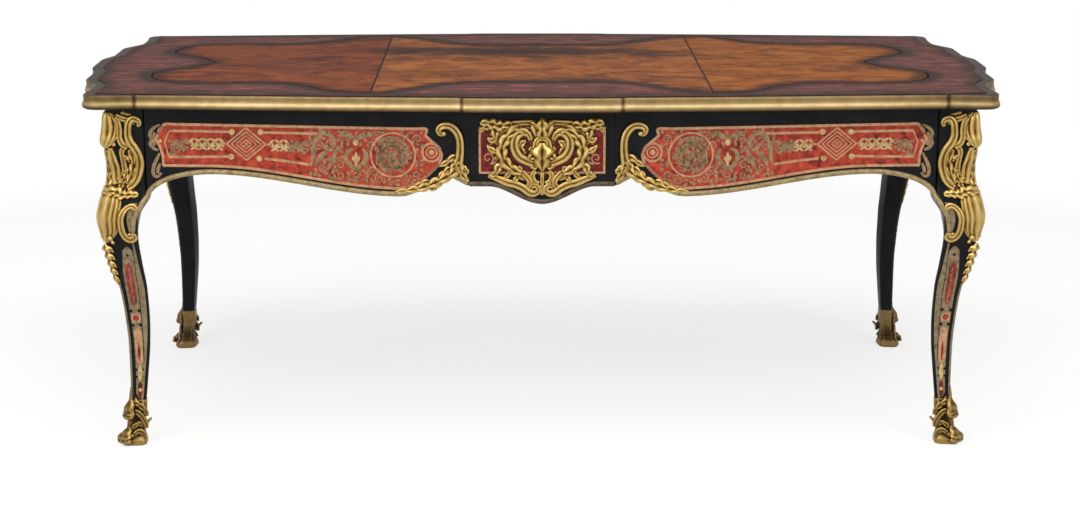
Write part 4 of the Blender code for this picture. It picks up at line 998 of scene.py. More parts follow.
def stroke(rows, place, kind="scroll", lobes=3, flat=1.0):
    # closed solid swept along rows on a surface, never deeper than the seat
    path = smoothRows(np.array(rows, float) * millimetre, casting["step"])
    path[:, 3] = np.maximum(path[:, 3], casting["least"])
    along = np.concatenate([[0.0], np.cumsum(np.hypot(*np.diff(path[:, :2], axis=0).T))])
    sides = casting["flutedSides" if kind == "fluted" else "sides"]
    rings = []
    for k, (across, drop, lift, width) in enumerate(path):
        aside = sideways(path, k)
        ring = []
        for corner in range(sides):
            turn = 2 * math.pi * corner / sides
            tall, wide = relief(kind, turn, along[k] / along[-1], lobes)
            reach = width * wide * math.cos(turn)
            height = max(casting["seat"], lift + flat * width * tall * math.sin(turn))
            ring.append(place(across + aside[0] * reach, drop + aside[1] * reach, height))
        rings.append(ring)
    return loft(rings)


def ball(across, drop, lift, radius, place):
    turns = np.linspace(0.12, math.pi - 0.12, 9)
    rows = [(across, drop - radius * math.cos(t), lift, radius * math.sin(t)) for t in turns]
    return stroke(rows, place, "round")


def rosette(across, drop, lift, size, place, petals=5):
    shapes = [ball(across, drop, lift + 0.25 * size, 0.42 * size, place)]
    for k in range(petals):
        turn = 2 * math.pi * (k + 0.25) / petals
        x, y = across + 0.66 * size * math.cos(turn), drop + 0.66 * size * math.sin(turn)
        shapes.append(ball(x, y, lift, 0.40 * size, place))
    return shapes


def bothSides(strokes, place, swell=1.0, flat=casting["flat"]):
    shapes = []
    for kind, lobes, rows in strokes:
        for side in (1, -1):
            full = [(side * a, d, h, swell * w) for a, d, h, w in rows]
            shapes.append(stroke(full, place, kind, lobes, flat))
    return shapes


def cast(name, shapes):
    # overlapping solids fused to one skin, softened as casting does, with its hollows marked for brown dirt
    # and painted shade
    item = bpy.data.objects.new(name, joined(name, shapes))
    bpy.context.scene.collection.objects.link(item)
    fuse = item.modifiers.new("fuse", "REMESH")
    fuse.mode = "VOXEL"
    fuse.voxel_size = casting["voxel"]
    soften = item.modifiers.new("soften", "SMOOTH")
    soften.iterations = casting["smooth"]
    thin = item.modifiers.new("thin", "DECIMATE")
    thin.ratio = casting["keep"]
    graph = bpy.context.evaluated_depsgraph_get()
    mesh = bpy.data.meshes.new_from_object(item.evaluated_get(graph))
    bpy.data.objects.remove(item, do_unlink=True)
    tint(mesh, "grimeAndPaintedLight", dirtAndPaintedLight(mesh))
    return mesh


def dirtAndPaintedLight(mesh):
    # how far each point lies below its smoothed surroundings, from 0 on a height to 1 in a hollow, which
    # the gilding shows as brown dirt and painted shade
    count = len(mesh.vertices)
    start = spots(mesh)
    edges = np.empty(len(mesh.edges) * 2, int)
    mesh.edges.foreach_get("vertices", edges)
    edges = edges.reshape(-1, 2)
    ends = np.concatenate([edges[:, 0], edges[:, 1]])
    others = np.concatenate([edges[:, 1], edges[:, 0]])
    degree = np.maximum(1, np.bincount(ends, minlength=count))
    soft = start.copy()
    for turn in range(casting["rounds"]):
        means = [np.bincount(ends, soft[others, axis], count) / degree for axis in range(3)]
        soft = (1 - casting["blend"]) * soft + casting["blend"] * np.stack(means, axis=1)
    depth = ((soft - start) * spots(mesh, "normal")).sum(axis=1)
    return np.clip(casting["level"] + casting["paintedShade"] * depth / casting["depth"], 0, 1)


cornerMount = {
    "pairs": (
        ("scroll", 0, (
            (67, 41, 3, 3), (71, 33, 4, 4.5), (65, 26, 4.5, 6), (56, 25, 5, 6.5), (49, 34, 5, 7),
            (47, 48, 5, 7), (47.5, 62, 5, 7.5), (52, 75, 5, 8), (59, 86, 5, 8.5), (63, 98, 5, 8.5),
            (63, 112, 5, 8.5), (61, 127, 5, 8.5), (58, 141, 5, 8.5), (54, 154, 5, 8), (47, 165, 4.5, 7),
            (38, 172, 4, 6))),
        ("scroll", 0, ((22, 18, 3, 5), (36, 24, 4, 5.5), (48, 27, 4, 5.5))),
        ("scroll", 0, (
            (20, 22, 4, 5), (27, 34, 4.5, 5.5), (29, 50, 4.5, 6), (29, 64, 5, 6), (34, 77, 5, 6),
            (45, 85, 4.5, 6))),
        ("scroll", 0, (
            (8, 86, 3, 3), (9, 97, 3.5, 5.5), (9, 114, 4, 7.5), (11, 130, 4, 8), (13, 146, 4, 8.5),
            (16, 162, 4, 9))),
        ("leaf", 4, (
            (30, 126, 3, 5), (33, 138, 3.5, 6), (31, 150, 3.5, 6), (25, 162, 3, 6), (22, 172, 3, 5))),
        ("scroll", 0, (
            (38, 84, 4, 4.5), (31, 94, 4.5, 5), (29, 108, 4.5, 5), (29, 122, 4.5, 5.5), (29, 136, 4, 5.5),
            (25, 148, 4, 5))),
        ("leaf", 3, (
            (47, 90, 3.5, 4.5), (50, 102, 4, 6.5), (50, 118, 4, 7.5), (47, 134, 4, 8), (43, 150, 4, 7.5),
            (36, 164, 3.5, 6))),
        ("leaf", 5, (
            (0, 178, 6, 9), (16, 178, 6, 9), (30, 184, 6, 9), (42, 184, 5.5, 7.5), (54, 184, 5, 6.5),
            (66, 187, 3, 3.5))),
        ("scroll", 0, (
            (71, 217, 3, 3.5), (65, 210, 4, 5), (56, 208, 4.5, 5.5), (47, 215, 5, 6), (42, 230, 5, 6),
            (40.5, 247, 5, 6), (40, 263, 5, 6.5), (44, 276, 5, 7), (53, 281, 5, 7), (62, 276, 4.5, 6),
            (61, 268, 4, 4)))),
    "plates": (
        (
            (50, 82, 0, 13), (47, 96, 0.5, 20), (46, 112, 0.5, 21), (44, 128, 0.5, 21), (40, 144, 0.5, 21),
            (34, 160, 0.5, 22), (28, 174, 0.5, 24)),
        ((30, 15, 0, 9), (38, 22, 0.5, 12), (52, 27, 0.5, 12), (62, 30, 0, 8)),
        ((7, 86, 0, 7), (8, 104, 0.5, 10), (9, 124, 0.5, 11), (14, 146, 0.5, 16), (20, 168, 0.5, 20))),
    "plateFlat": 0.16, "swell": 1.17,
    "leaf": (
        (0, 12, 1, 14), (0, 22, 1.5, 24), (0, 38, 2, 30), (0, 54, 4, 29), (0, 68, 8, 22), (0, 80, 9, 12),
        (0, 86, 7, 5)),
    "leafFlat": 0.17, "leafFlutes": 16,
    "spine": ((0, 92, 2, 3), (0, 110, 3, 5), (0, 136, 3.5, 5), (0, 166, 4, 8)),
    "body": (
        (0, 178, 6, 24), (0, 192, 6.5, 34), (0, 214, 4.5, 38), (0, 240, 3, 37), (0, 262, 2.5, 31),
        (0, 280, 3, 16), (0, 287, 2, 6)),
    "bodyFlat": 0.12, "bodyFlutes": 18, "flowers": ((40, 109, 5, 8), (17, 151, 5, 8)),
    "balls": ((17, 78, 5, 5), (12, 277, 4, 5.5), (15, 286, 3.5, 4.5), (53, 270, 4, 4)), "husks": 5,
    "huskFrom": 290, "huskRun": 17, "huskSize": 8.5, "huskFade": 0.11,
    "husk": ((0, 3, 0.4), (6, 4, 0.8), (14, 4, 1.0), (20, 3, 0.5), (27, 2, 0.2)),
    "huskLeaf": ((0, 2, 3, 0.3), (0.7, 9, 3, 0.5), (1.3, 19, 3, 0.2)),
}


def makeCornerMounts():
    m = cornerMount
    shapes = bothSides(m["pairs"], onPost, m["swell"])
    shapes += bothSides([("round", 0, rows) for rows in m["plates"]], onPost, 1.0, m["plateFlat"])
    shapes.append(stroke(m["spine"], onPost, "leaf", 4))
    shapes.append(stroke(m["leaf"], onPost, "fluted", m["leafFlutes"], m["leafFlat"]))
    shapes.append(stroke(m["body"], onPost, "fluted", m["bodyFlutes"], m["bodyFlat"]))
    for across, *rest in m["flowers"]:
        shapes += rosette(across, *rest, onPost) + rosette(-across, *rest, onPost)
    for across, *rest in m["balls"]:
        shapes += [ball(across, *rest, onPost), ball(-across, *rest, onPost)]
    for k in range(m["husks"]):
        size = m["huskSize"] * (1 - m["huskFade"] * k)
        start = m["huskFrom"] + m["huskRun"] * k
        rows = [(0, start + run, lift, half * size) for run, lift, half in m["husk"]]
        shapes.append(stroke(rows, onPost, "leaf", 2))
        for side in (1, -1):
            rows = []
            for out, run, lift, half in m["huskLeaf"]:
                rows.append((out * side * size, start + run, lift, half * size))
            shapes.append(stroke(rows, onPost, "leaf", 1))
    mesh = cast("cornerMount", shapes)
    atCorners("cornerMount", mesh, "gilt", "corner_mount_", crease=casting["crease"])


sabot = {           # rows run up from the floor
    "cuff": (
        (0, 8), (5, 12), (12, 11), (20, 7), (30, 4), (42, 2.5), (54, 2.5), (66, 3), (78, 3), (90, 2),
        (97, 0.8)),
    "pairs": (
        ("leaf", 3, ((2, 94, 3, 3), (12, 91, 4, 6), (22, 84, 4.5, 6.5), (31, 74, 4, 5.5), (37, 62, 3, 3))),
        ("leaf", 2, ((8, 102, 2, 1.5), (11, 94, 3, 4), (13, 84, 4, 5))),
        ("leaf", 2, ((24, 98, 1.5, 1.5), (25, 90, 3, 3.5), (23, 80, 4, 4))),
        ("scroll", 0, ((5, 74, 6, 5), (16, 70, 5, 6), (26, 60, 4, 6), (34, 48, 4, 6), (38, 36, 3, 4))),
        ("leaf", 2, ((36, 48, 2, 3), (42, 55, 4, 3.5), (46, 60, 5, 1.5))),
        ("leaf", 2, ((8, 36, 3, 5), (14, 44, 3.5, 6), (22, 46, 3.5, 5), (29, 40, 3, 3))),
        ("scroll", 0, (
            (38, 20, 3, 4), (30, 28, 4, 6), (20, 30, 5, 6), (13, 22, 6, 5), (16, 13, 6, 4),
            (23, 13, 5, 3))),
        ("scroll", 0, ((42, 6, 3, 4.5), (30, 6, 4, 5.5), (15, 6, 5, 6.5), (0, 7, 6, 8)))),
    "spine": (
        ("leaf", 3, (
            (0, 126, 2, 1.2), (0, 112, 2.5, 2.2), (0, 98, 3, 4), (0, 88, 5, 7), (0, 78, 8, 9),
            (0, 68, 10, 9), (0, 60, 10, 7), (0, 55, 8, 3.5))),
        ("leaf", 3, (
            (0, 40, 0, 5), (0, 32, 3, 7.5), (0, 25, 10, 9), (0, 17, 14, 9), (0, 9, 14, 7.5),
            (0, 5, 11, 5)))),
    "spineFlat": 0.9, "balls": ((9, 22, 9, 5), (0, 61, 12, 4), (6, 12, 17, 4.5), (4, 68, 13, 3.5)),
}


def makeSabots():
    rings = []
    for z, grow in sabot["cuff"]:
        height = max(z * millimetre, legShape["end"])
        rings.append([(x, y, z * millimetre) for x, y, old in legRing(height, grow * millimetre)])
    shapes = [loft(rings)] + bothSides(sabot["pairs"], onLeg)
    for kind, lobes, rows in sabot["spine"]:
        shapes.append(stroke(rows, onLeg, kind, lobes, sabot["spineFlat"]))
    for across, *rest in sabot["balls"]:
        shapes += [ball(across, *rest, onLeg), ball(-across, *rest, onLeg)]
    mesh = cast("sabot", shapes)
    standing = spots(mesh)
    standing[:, 2] = np.maximum(standing[:, 2], 0.0)
    mesh.vertices.foreach_set("co", standing.ravel())
    # the back feet take the darker copy of the gilding: painted shade
    atCorners("sabot", mesh, "footGilt", "sabot_", "shadedBackGilt", casting["crease"])


cartouche = {
    "pairs": (
        ("scroll", 0, (
            (4, 57, 5, 5), (10, 46, 6, 6), (15, 36, 6.5, 6.5), (20, 28, 5.5, 5.5), (26, 27, 4, 3.5))),
        ("scroll", 0, (
            (10, 27, 3, 4), (24, 25, 4, 4.5), (44, 25.5, 4, 4.5), (62, 27, 4, 4), (72, 31, 3, 3))),
        ("leaf", 4, (
            (62, 28, 4, 5), (76, 30, 5, 7), (90, 31, 5, 9), (106, 27, 5, 8), (118, 25, 4.5, 6),
            (128, 28, 3, 3))),
        ("leaf", 2, (
            (92, 36, 4, 5), (97, 46, 4.5, 6), (96, 57, 4, 5.5), (104, 62, 4, 4.5), (113, 57, 3, 2.5))),
        ("leaf", 2, ((40, 34, 4, 4), (56, 37, 5, 6), (70, 42, 5, 6), (82, 50, 4, 5), (90, 62, 3, 3))),
        ("leaf", 3, ((100, 34, 4, 5), (112, 33, 4, 6), (122, 38, 3, 4), (126, 46, 2.5, 2))),
        ("leaf", 6, (
            (27, 52, 5, 3.5), (34, 44, 6, 5), (46, 41, 7, 6), (62, 46, 7, 7), (75, 58, 7, 8),
            (83, 76, 7, 8.5), (82, 94, 7, 8.5), (73, 111, 6, 8), (59, 123, 6, 7), (44, 131, 5, 5))),
        ("scroll", 0, (
            (23, 61, 5, 3.5), (29, 49, 6, 5), (40, 45, 7, 6), (51, 51, 8, 6.5), (57, 64, 8, 7),
            (56, 80, 8, 7), (48, 95, 8, 7), (34, 104, 7, 6.5), (18, 111, 6, 5.5))),
        ("leaf", 2, ((34, 63, 4, 3), (43, 70, 5, 5), (43, 82, 5, 5), (34, 90, 4, 3))),
        ("scroll", 0, (
            (0, 57, 8, 3.5), (8, 59, 8.5, 4), (13, 66, 9, 4.2), (15, 75, 10, 4.2), (21, 80, 9, 4),
            (27, 77, 7, 3))),
        ("leaf", 2, ((5, 92, 6, 5), (16, 93, 7, 7), (25, 100, 6, 6), (22, 111, 5, 5), (11, 120, 5, 6))),
        ("leaf", 2, (
            (79, 78, 4, 4), (90, 84, 5, 6), (100, 84, 5, 5.5), (108, 79, 4, 3.5), (114, 72, 3, 1.5))),
        ("leaf", 1, ((80, 91, 4, 3), (90, 97, 4, 4), (99, 101, 3, 2))),
        ("leaf", 2, ((80, 62, 5, 4), (89, 66, 5, 5), (98, 67, 3, 2))),
        ("leaf", 2, ((66, 116, 5, 4), (66, 126, 5, 5), (72, 136, 4, 4), (80, 140, 3, 2))),
        ("leaf", 2, ((44, 116, 5, 4), (48, 126, 5, 5), (44, 138, 4, 4), (36, 146, 3, 2))),
        ("leaf", 3, (
            (70, 119, 4, 4), (80, 113, 5, 5.5), (90, 117, 5, 6), (94, 128, 4.5, 5.5), (102, 135, 4, 4),
            (110, 135, 3, 2))),
        ("scroll", 0, (
            (112, 137, 2, 2.5), (100, 140, 3, 4.5), (86, 145, 4, 5.5), (71, 151, 4, 6), (55, 155, 4, 6),
            (40, 162, 4, 6), (28, 171, 4, 6), (18, 174, 4, 5.5), (9, 170, 4, 4.5), (9, 161, 4, 4),
            (17, 157, 4, 4), (23, 162, 3.5, 3))),
        ("scroll", 0, (
            (41, 128, 4, 4), (32, 138, 4.5, 4.5), (26, 148, 4.5, 4.5), (28, 158, 4, 4), (37, 160, 3.5, 3))),
        ("scroll", 0, ((14, 126, 4, 3.5), (20, 136, 4, 4), (16, 148, 4, 4), (7, 153, 4, 3.5))),
        ("leaf", 2, ((49, 138, 3.5, 3), (57, 147, 4, 4.5), (54, 158, 3, 3)))),
    "spine": (
        ("leaf", 2, ((0, 64, 4, 8), (0, 48, 6, 12), (0, 34, 8, 13), (0, 22, 7, 10), (0, 14, 4, 4))),
        ("leaf", 2, (
            (0, 66, 5, 10), (0, 78, 7, 22), (0, 90, 8, 23), (0, 103, 8, 18), (0, 116, 7, 10),
            (0, 128, 4, 4))),
        ("scroll", 0, ((0, 130, 4, 5), (0, 146, 4, 4), (0, 158, 4, 4.5), (0, 170, 4, 5), (0, 178, 3, 3)))),
    "plate": (
        (0, 36, 0, 14), (0, 56, 0, 26), (0, 76, 0, 30), (0, 96, 0, 30), (0, 116, 0, 22), (0, 140, 0, 16),
        (0, 168, 0, 12)),
    "plateFlat": 0.03, "swell": 1.43,
}


def makeCartouches():
    shapes = bothSides(cartouche["pairs"], onFrieze, cartouche["swell"])
    for kind, lobes, rows in cartouche["spine"]:
        shapes.append(stroke(rows, onFrieze, kind, lobes, casting["flat"]))
    shapes.append(stroke(cartouche["plate"], onFrieze, "round", 0, cartouche["plateFlat"]))
    mesh = cast("cartouche", shapes)
    dress("cartoucheDrawer", mesh.copy(), "gilt", "drawer", ["cartouche_drawer"],
          casting["crease"])
    dress("cartoucheBack", mirrored(mesh, 1, -1), "gilt", "table", ["cartouche_back"],
          casting["crease"])


scrollMount = {
    "strokes": (
        ("scroll", 0, (
            (203, 52, 3, 3), (211, 50, 3.5, 4), (214, 41, 4, 5), (205, 33.5, 4.5, 5.8), (190, 34, 4.5, 6.2),
            (178, 44, 4.5, 6.2), (171, 60, 4.5, 6.2), (169.5, 80, 4.5, 6.5), (171, 98, 4.5, 7),
            (173, 112, 4.5, 7.5), (170, 126, 4.5, 7))),
        ("leaf", 2, ((172, 110, 4, 7), (169, 126, 4, 6.5), (163, 138, 4, 5.5), (155, 146, 3.5, 4))),
        ("leaf", 2, ((176, 96, 3.5, 4), (188, 102, 4, 5.5), (201, 112, 3.5, 4.5), (213, 119, 3, 2))),
        ("leaf", 6, (
            (174, 118, 4, 7), (184, 131, 4.5, 8), (200, 141, 4.5, 8), (219, 151, 4.5, 8),
            (239, 160, 4, 7.5), (259, 166, 3.5, 6.5), (282, 170, 3, 4.5), (306, 173, 2.5, 1.5))),
        ("leaf", 2, ((232, 150, 3, 2), (243, 152, 4, 5), (255, 158, 3.5, 5), (266, 165, 3, 3))),
        ("leaf", 2, ((186, 118, 3, 2), (196, 126, 4, 5), (207, 136, 4, 5.5), (214, 146, 3, 4))),
        ("leaf", 2, ((206, 148, 3, 3), (216, 158, 3.5, 5), (226, 166, 3, 4), (232, 171, 2.5, 1.5))),
        ("leaf", 2, ((168, 96, 3, 3), (176, 108, 4.5, 6), (182, 120, 4.5, 6.5), (180, 132, 4, 5))),
        ("leaf", 2, ((166, 116, 3, 3), (158, 124, 3.5, 4.5), (155, 134, 3, 3)))),
    "balls": ((203, 50, 3, 5.5), (155, 147, 3, 4.5)), "swell": 1.34,
}


def makeScrollMounts():
    shapes = []
    for kind, lobes, rows in scrollMount["strokes"]:
        full = [(a, d, h, scrollMount["swell"] * w) for a, d, h, w in rows]
        shapes.append(stroke(full, onFrieze, kind, lobes, casting["flat"]))
    shapes += [ball(*row, onFrieze) for row in scrollMount["balls"]]
    mesh = cast("scrollMount", shapes)
    atCorners("scrollMount", mesh, "gilt", "scroll_mount_", crease=casting["crease"])


makeCornerMounts()
makeSabots()
makeCartouches()
makeScrollMounts()
print("gilt mounts ready")


# Marquetry: flush ribbons of (across, drop, half width) rows in millimetres
inlay = {           # heights of the layers over the wood, in metres
    "shell": 0.0004, "under": 0.0006, "brass": 0.0008, "over": 0.0010,
    "step": 0.0025, "thick": 0.0005, "plate": 0.0006, "least": 0.0002,
}


def ribbon(rows, place, lift, straight=False):
    # thin closed strip laid on a surface
    path = np.array(rows, float) * millimetre
    if len(rows) > 2 and not straight:
        path = smoothRows(np.insert(path, 2, 0.0, axis=1), inlay["step"])[:, (0, 1, 3)]
    under = lift - inlay["thick"]
    rings = []
    for k, (across, drop, width) in enumerate(path):
        aside = sideways(path, k)
        width = max(width, inlay["least"])
        ring = []
        for side, height in ((1, under), (1, lift), (-1, lift), (-1, under)):
            ring.append(place(across + side * aside[0] * width, drop + side * aside[1] * width, height))
        rings.append(ring)
    return loft(rings)


def disc(across, drop, radius, place, lift):
    turns = np.linspace(math.pi, 0, 13)
    rows = [(across + radius * math.cos(t), drop, max(0.15, radius * math.sin(t))) for t in turns]
    return ribbon(rows, place, lift, straight=True)


def spiral(across, drop, outer, inner, start, turns, width):
    # rows of a scroll that winds in from its outer end
    rows = []
    for t in np.linspace(0.0, 1.0, int(14 * abs(turns)) + 4):
        radius = outer + (inner - outer) * t ** 0.8
        turn = start + 2 * math.pi * turns * t
        rows.append((across + radius * math.cos(turn), drop + radius * math.sin(turn),
                     width * (1 - 0.45 * t)))
    return rows


def leafRows(across, drop, turn, length, width, bend=0.0):
    rows = []
    for t in np.linspace(0.0, 1.0, 7):
        aim = turn + bend * t
        rows.append((across + length * t * math.cos(aim), drop + length * t * math.sin(aim),
                     width * math.sin(math.pi * (0.08 + 0.9 * t)) ** 0.8))
    return rows


def hoop(across, drop, radius, width):
    turns = np.linspace(0, 2 * math.pi, 33)
    return [(across + radius * math.cos(t), drop + radius * math.sin(t), width) for t in turns]


sidePanel = {           # millimetres, right of the drawer
    "top": 34, "topEnd": 784, "slope": 0.0075, "margin": 14, "arch": 684, "flat": 127, "stations": 100,
    "lobe": (
        (205, 94, 96), (207, 88, 106), (211, 79, 116), (218, 71.5, 124.5), (226, 65, 132), (235, 57, 140.5),
        (239.9, 52, 144)),
    "lobeStart": 240.1, "lobeRaise": 4, "lobeRun": 30, "pointStart": 783,
    "point": (
        (787, 35.5, 127), (790, 38.3, 126.5), (790.4, 38.7, 108), (793, 42, 97), (796, 46, 87.5),
        (800, 56.5, 79), (805, 68.5, 70.5)),
    "border": 2.8, "line": 2.7, "upperRuns": ((466, 578), (650, 776)), "upperIn": 16.5,
    "lowerLines": (((648, 103.5), (710, 105), (778, 106)), ((577, 107), (530, 112), (485, 118))),
    "tip": 1.6, "tipLines": (((776, 52.5), (786, 74)), ((786, 74), (778, 106))), "diamond": (615, 77),
    "diamondHalf": (41, 34), "lobeRing": (229, 90), "lobeHoops": ((19, 2.4), (11, 1.4)),
    "dots": ((644, 52), (584, 51), (647, 104), (588, 107)), "dotSize": 6,
    "marks": ((386, 71, 6), (795, 72, 3.4)), "lobeMark": 5.5, "rosette": (309, 96), "rosetteSize": 46,
    "rosetteHalf": 38, "rosetteSquare": 1500, "rosettePitch": 8.5,
    "tangles": ((734, 774, 80, 13), (484, 527, 82, 14)), "tipScroll": (770, 95, 7, 2, 0.4, 1.1, 1.9),
    "tipLeaves": ((762, 96, 3.3, 13, 2.2, 0.5), (770, 101, 2.7, 12, 2.0, 0.4)),
    "filigrees": ((664, 732, 78, 12), (527, 564, 79, 12)),
    "palmette": (
        (386, 120, -1.57, 30, 4.0), (386, 112, -2.5, 15, 2.6, 0.5), (386, 112, -0.64, 15, 2.6, -0.5)),
    "palmetteClear": ((386, 103, 17), (386, 71, 9)),
    "drawn": (
        (
            (481, 121, 1.6), (476, 100, 2.8), (474, 80, 3.2), (465, 60, 3.4), (452, 51, 3.4),
            (438, 57, 3.2), (431, 72, 3.0), (438, 86, 2.6), (449, 84, 2.2), (452, 74, 1.6)),
        ((421, 79, 2.2), (430, 95, 2.8), (437, 112, 2.8), (446, 128, 2.2)),
        ((470, 121, 1.6), (464, 108, 3.4), (456, 97, 3.6), (446, 92, 2.4)),
        ((386, 64, 2.0), (400, 56, 3.6), (413, 52, 3.4), (421, 58, 1.6)),
        ((386, 64, 2.0), (371, 56, 3.6), (358, 52, 3.4), (351, 60, 1.6)),
        (
            (372, 84, 1.6), (365, 96, 3.0), (369, 112, 3.2), (383, 123, 3.0), (398, 120, 3.0),
            (407, 106, 3.0), (403, 90, 2.8), (393, 84, 1.6))),
    "thick": 1.5, "clear": 7.5, "foliage": 9.6, "leaves": (250, 482),
    "tendrils": (
        (258, 62), (262, 138), (285, 150), (338, 147), (352, 128), (355, 77), (420, 118), (420, 140),
        (456, 124), (344, 57), (437, 72), (464, 74), (386, 138)),
    "tendrilSize": 9.5, "tendrilClear": 13,
}


def panelLow(x):
    # lower edge of a side plaque, as a drop
    p = sidePanel
    if x > p["arch"]:
        return p["flat"]
    low = apronDrop(x * millimetre) / millimetre - p["margin"]
    return low - p["lobeRaise"] * (1 - ease((x - p["lobeStart"]) / p["lobeRun"]))


def panelTop(x):
    return sidePanel["top"] + (sidePanel["topEnd"] - x) * sidePanel["slope"]


def panelRows():
    # top and bottom of a side plaque along its length
    p = sidePanel
    places = np.linspace(p["lobeStart"], p["pointStart"], p["stations"])
    return [*p["lobe"], *((x, panelTop(x), panelLow(x)) for x in places), *p["point"]]


def plate(rows, place, lift):
    # thin shell plate between two drops along a face
    under = lift - inlay["plate"]
    rings = []
    for across, high, low in rows:
        ends = ((low, under), (low, lift), (high, lift), (high, under))
        rings.append([place(across * millimetre, drop * millimetre, height) for drop, height in ends])
    return loft(rings)


def diamondGroup(across, drop, wide, tall):
    # nested lozenges with a chequered middle and a leaf at each side
    strips = []
    for scale, width in ((1.0, 1.7), (0.76, 1.3), (0.52, 1.2), (0.28, 1.1)):
        tips = ((wide, 0), (0, tall), (-wide, 0), (0, -tall), (wide, 0))
        tips = [(across + scale * x, drop + scale * y, width) for x, y in tips]
        strips += [[start, stop] for start, stop in zip(tips, tips[1:])]
    for side in (-1, 1):
        strips.append(leafRows(across + side * (wide + 1), drop, 0.0 if side > 0 else math.pi, 11, 2.6))
        strips.append([(across + side * 5, drop - 5, 1.0), (across - side * 5, drop + 5, 1.0)])
    return strips


def beats(start, stop, pitch):
    # evenly set places between two ends, with a side that changes from one to the next
    count = max(3, int((stop - start) / pitch))
    return [(k, start + (stop - start) * (k + 0.5) / count, 1 if k % 2 else -1) for k in range(count)]


def filigree(start, stop, drop, half):
    # close-set upright scrolls between two places
    strips = []
    for k, x, side in beats(start, stop, 8.0):
        lean = 3.4 * side
        strips.append([(x - lean, drop - half, 1.6), (x + lean, drop - 0.5 * half, 2.7), (x, drop, 3.1),
                       (x - lean, drop + 0.5 * half, 2.7), (x + lean, drop + half, 1.6)])
        turn = 0.6 if side > 0 else 2.5
        strips.append(leafRows(x, drop - 0.4 * half, turn, 8, 2.1, 0.6))
        strips.append(leafRows(x, drop + 0.4 * half, -turn, 8, 2.1, -0.6))
    return strips


def tangle(start, stop, drop, half):
    # small paired curls running along a line
    strips = []
    for k, x, side in beats(start, stop, 8.5):
        strips.append(spiral(x, drop + side * 0.45 * half, 0.52 * half, 0.12 * half, 0.5 + k,
                             side * 1.2, 2.7))
        strips.append(leafRows(x - 3, drop - side * 0.2 * half, -side * 1.1, 0.8 * half, 3.1, 0.7 * side))
        strips.append(leafRows(x + 3, drop - side * 0.6 * half, side * 0.4, 0.6 * half, 2.8, -0.6))
    return strips


def foliage(start, stop, high, low, pitch, keepOff):
    # leaves that swirl over an area, off the round places given
    strips = []
    for row, x in enumerate(np.arange(start, stop, pitch)):
        for step in range(40):
            drop = high(x) + pitch * (0.5 + step + 0.5 * (row % 2))
            if drop > low(x) - 4:
                break
            if any(math.hypot(x - a, drop - d) < size for a, d, size in keepOff):
                continue
            turn = 2.4 * math.sin(0.061 * x + 0.045 * drop) + 1.7 * math.cos(0.083 * drop - 0.037 * x)
            back = 0.4 * pitch
            strips.append(leafRows(x - back * math.cos(turn), drop - back * math.sin(turn), turn,
                                   1.1 * pitch, 0.29 * pitch, 1.4 * math.sin(0.2 * x)))
    return strips


def tendrils(places, size):
    # small winding stems, each with two leaves thrown off
    strips = []
    for k, (across, drop) in enumerate(places):
        hand = 1 if k % 2 else -1
        start = 1.9 * k
        strips.append(spiral(across, drop, size, 0.2 * size, start, hand * 1.25, 0.19 * size))
        for lean in (0.2, 1.3):
            turn = start - hand * lean
            x, y = across + size * math.cos(turn), drop + size * math.sin(turn)
            strips.append(leafRows(x, y, start - hand * (lean + 0.9), 0.9 * size, 0.24 * size, -hand * 0.8))
    return strips


def acanthusScroll(across, drop, size, start, hand):
    # winding stem with leaves thrown off on both sides and a flower in its eye
    strips = [spiral(across, drop, size, 0.22 * size, start, hand * 1.35, 0.085 * size)]
    for k in range(7):
        along = 0.06 + 0.125 * k
        fade = 1 - 0.06 * k
        turn = start + hand * 2 * math.pi * 1.35 * along
        radius = size * (1 - 0.78 * along ** 0.8)
        x, y = across + radius * math.cos(turn), drop + radius * math.sin(turn)
        strips.append(leafRows(x, y, turn + hand * 1.0, 0.42 * size * fade, 0.085 * size, hand * 0.9))
        strips.append(leafRows(x, y, turn + math.pi - hand * 0.9, 0.30 * size * fade, 0.070 * size,
                               -hand * 0.9))
    for k in range(5):
        strips.append(leafRows(across, drop, start + 2 * math.pi * k / 5, 0.24 * size, 0.07 * size))
    return strips


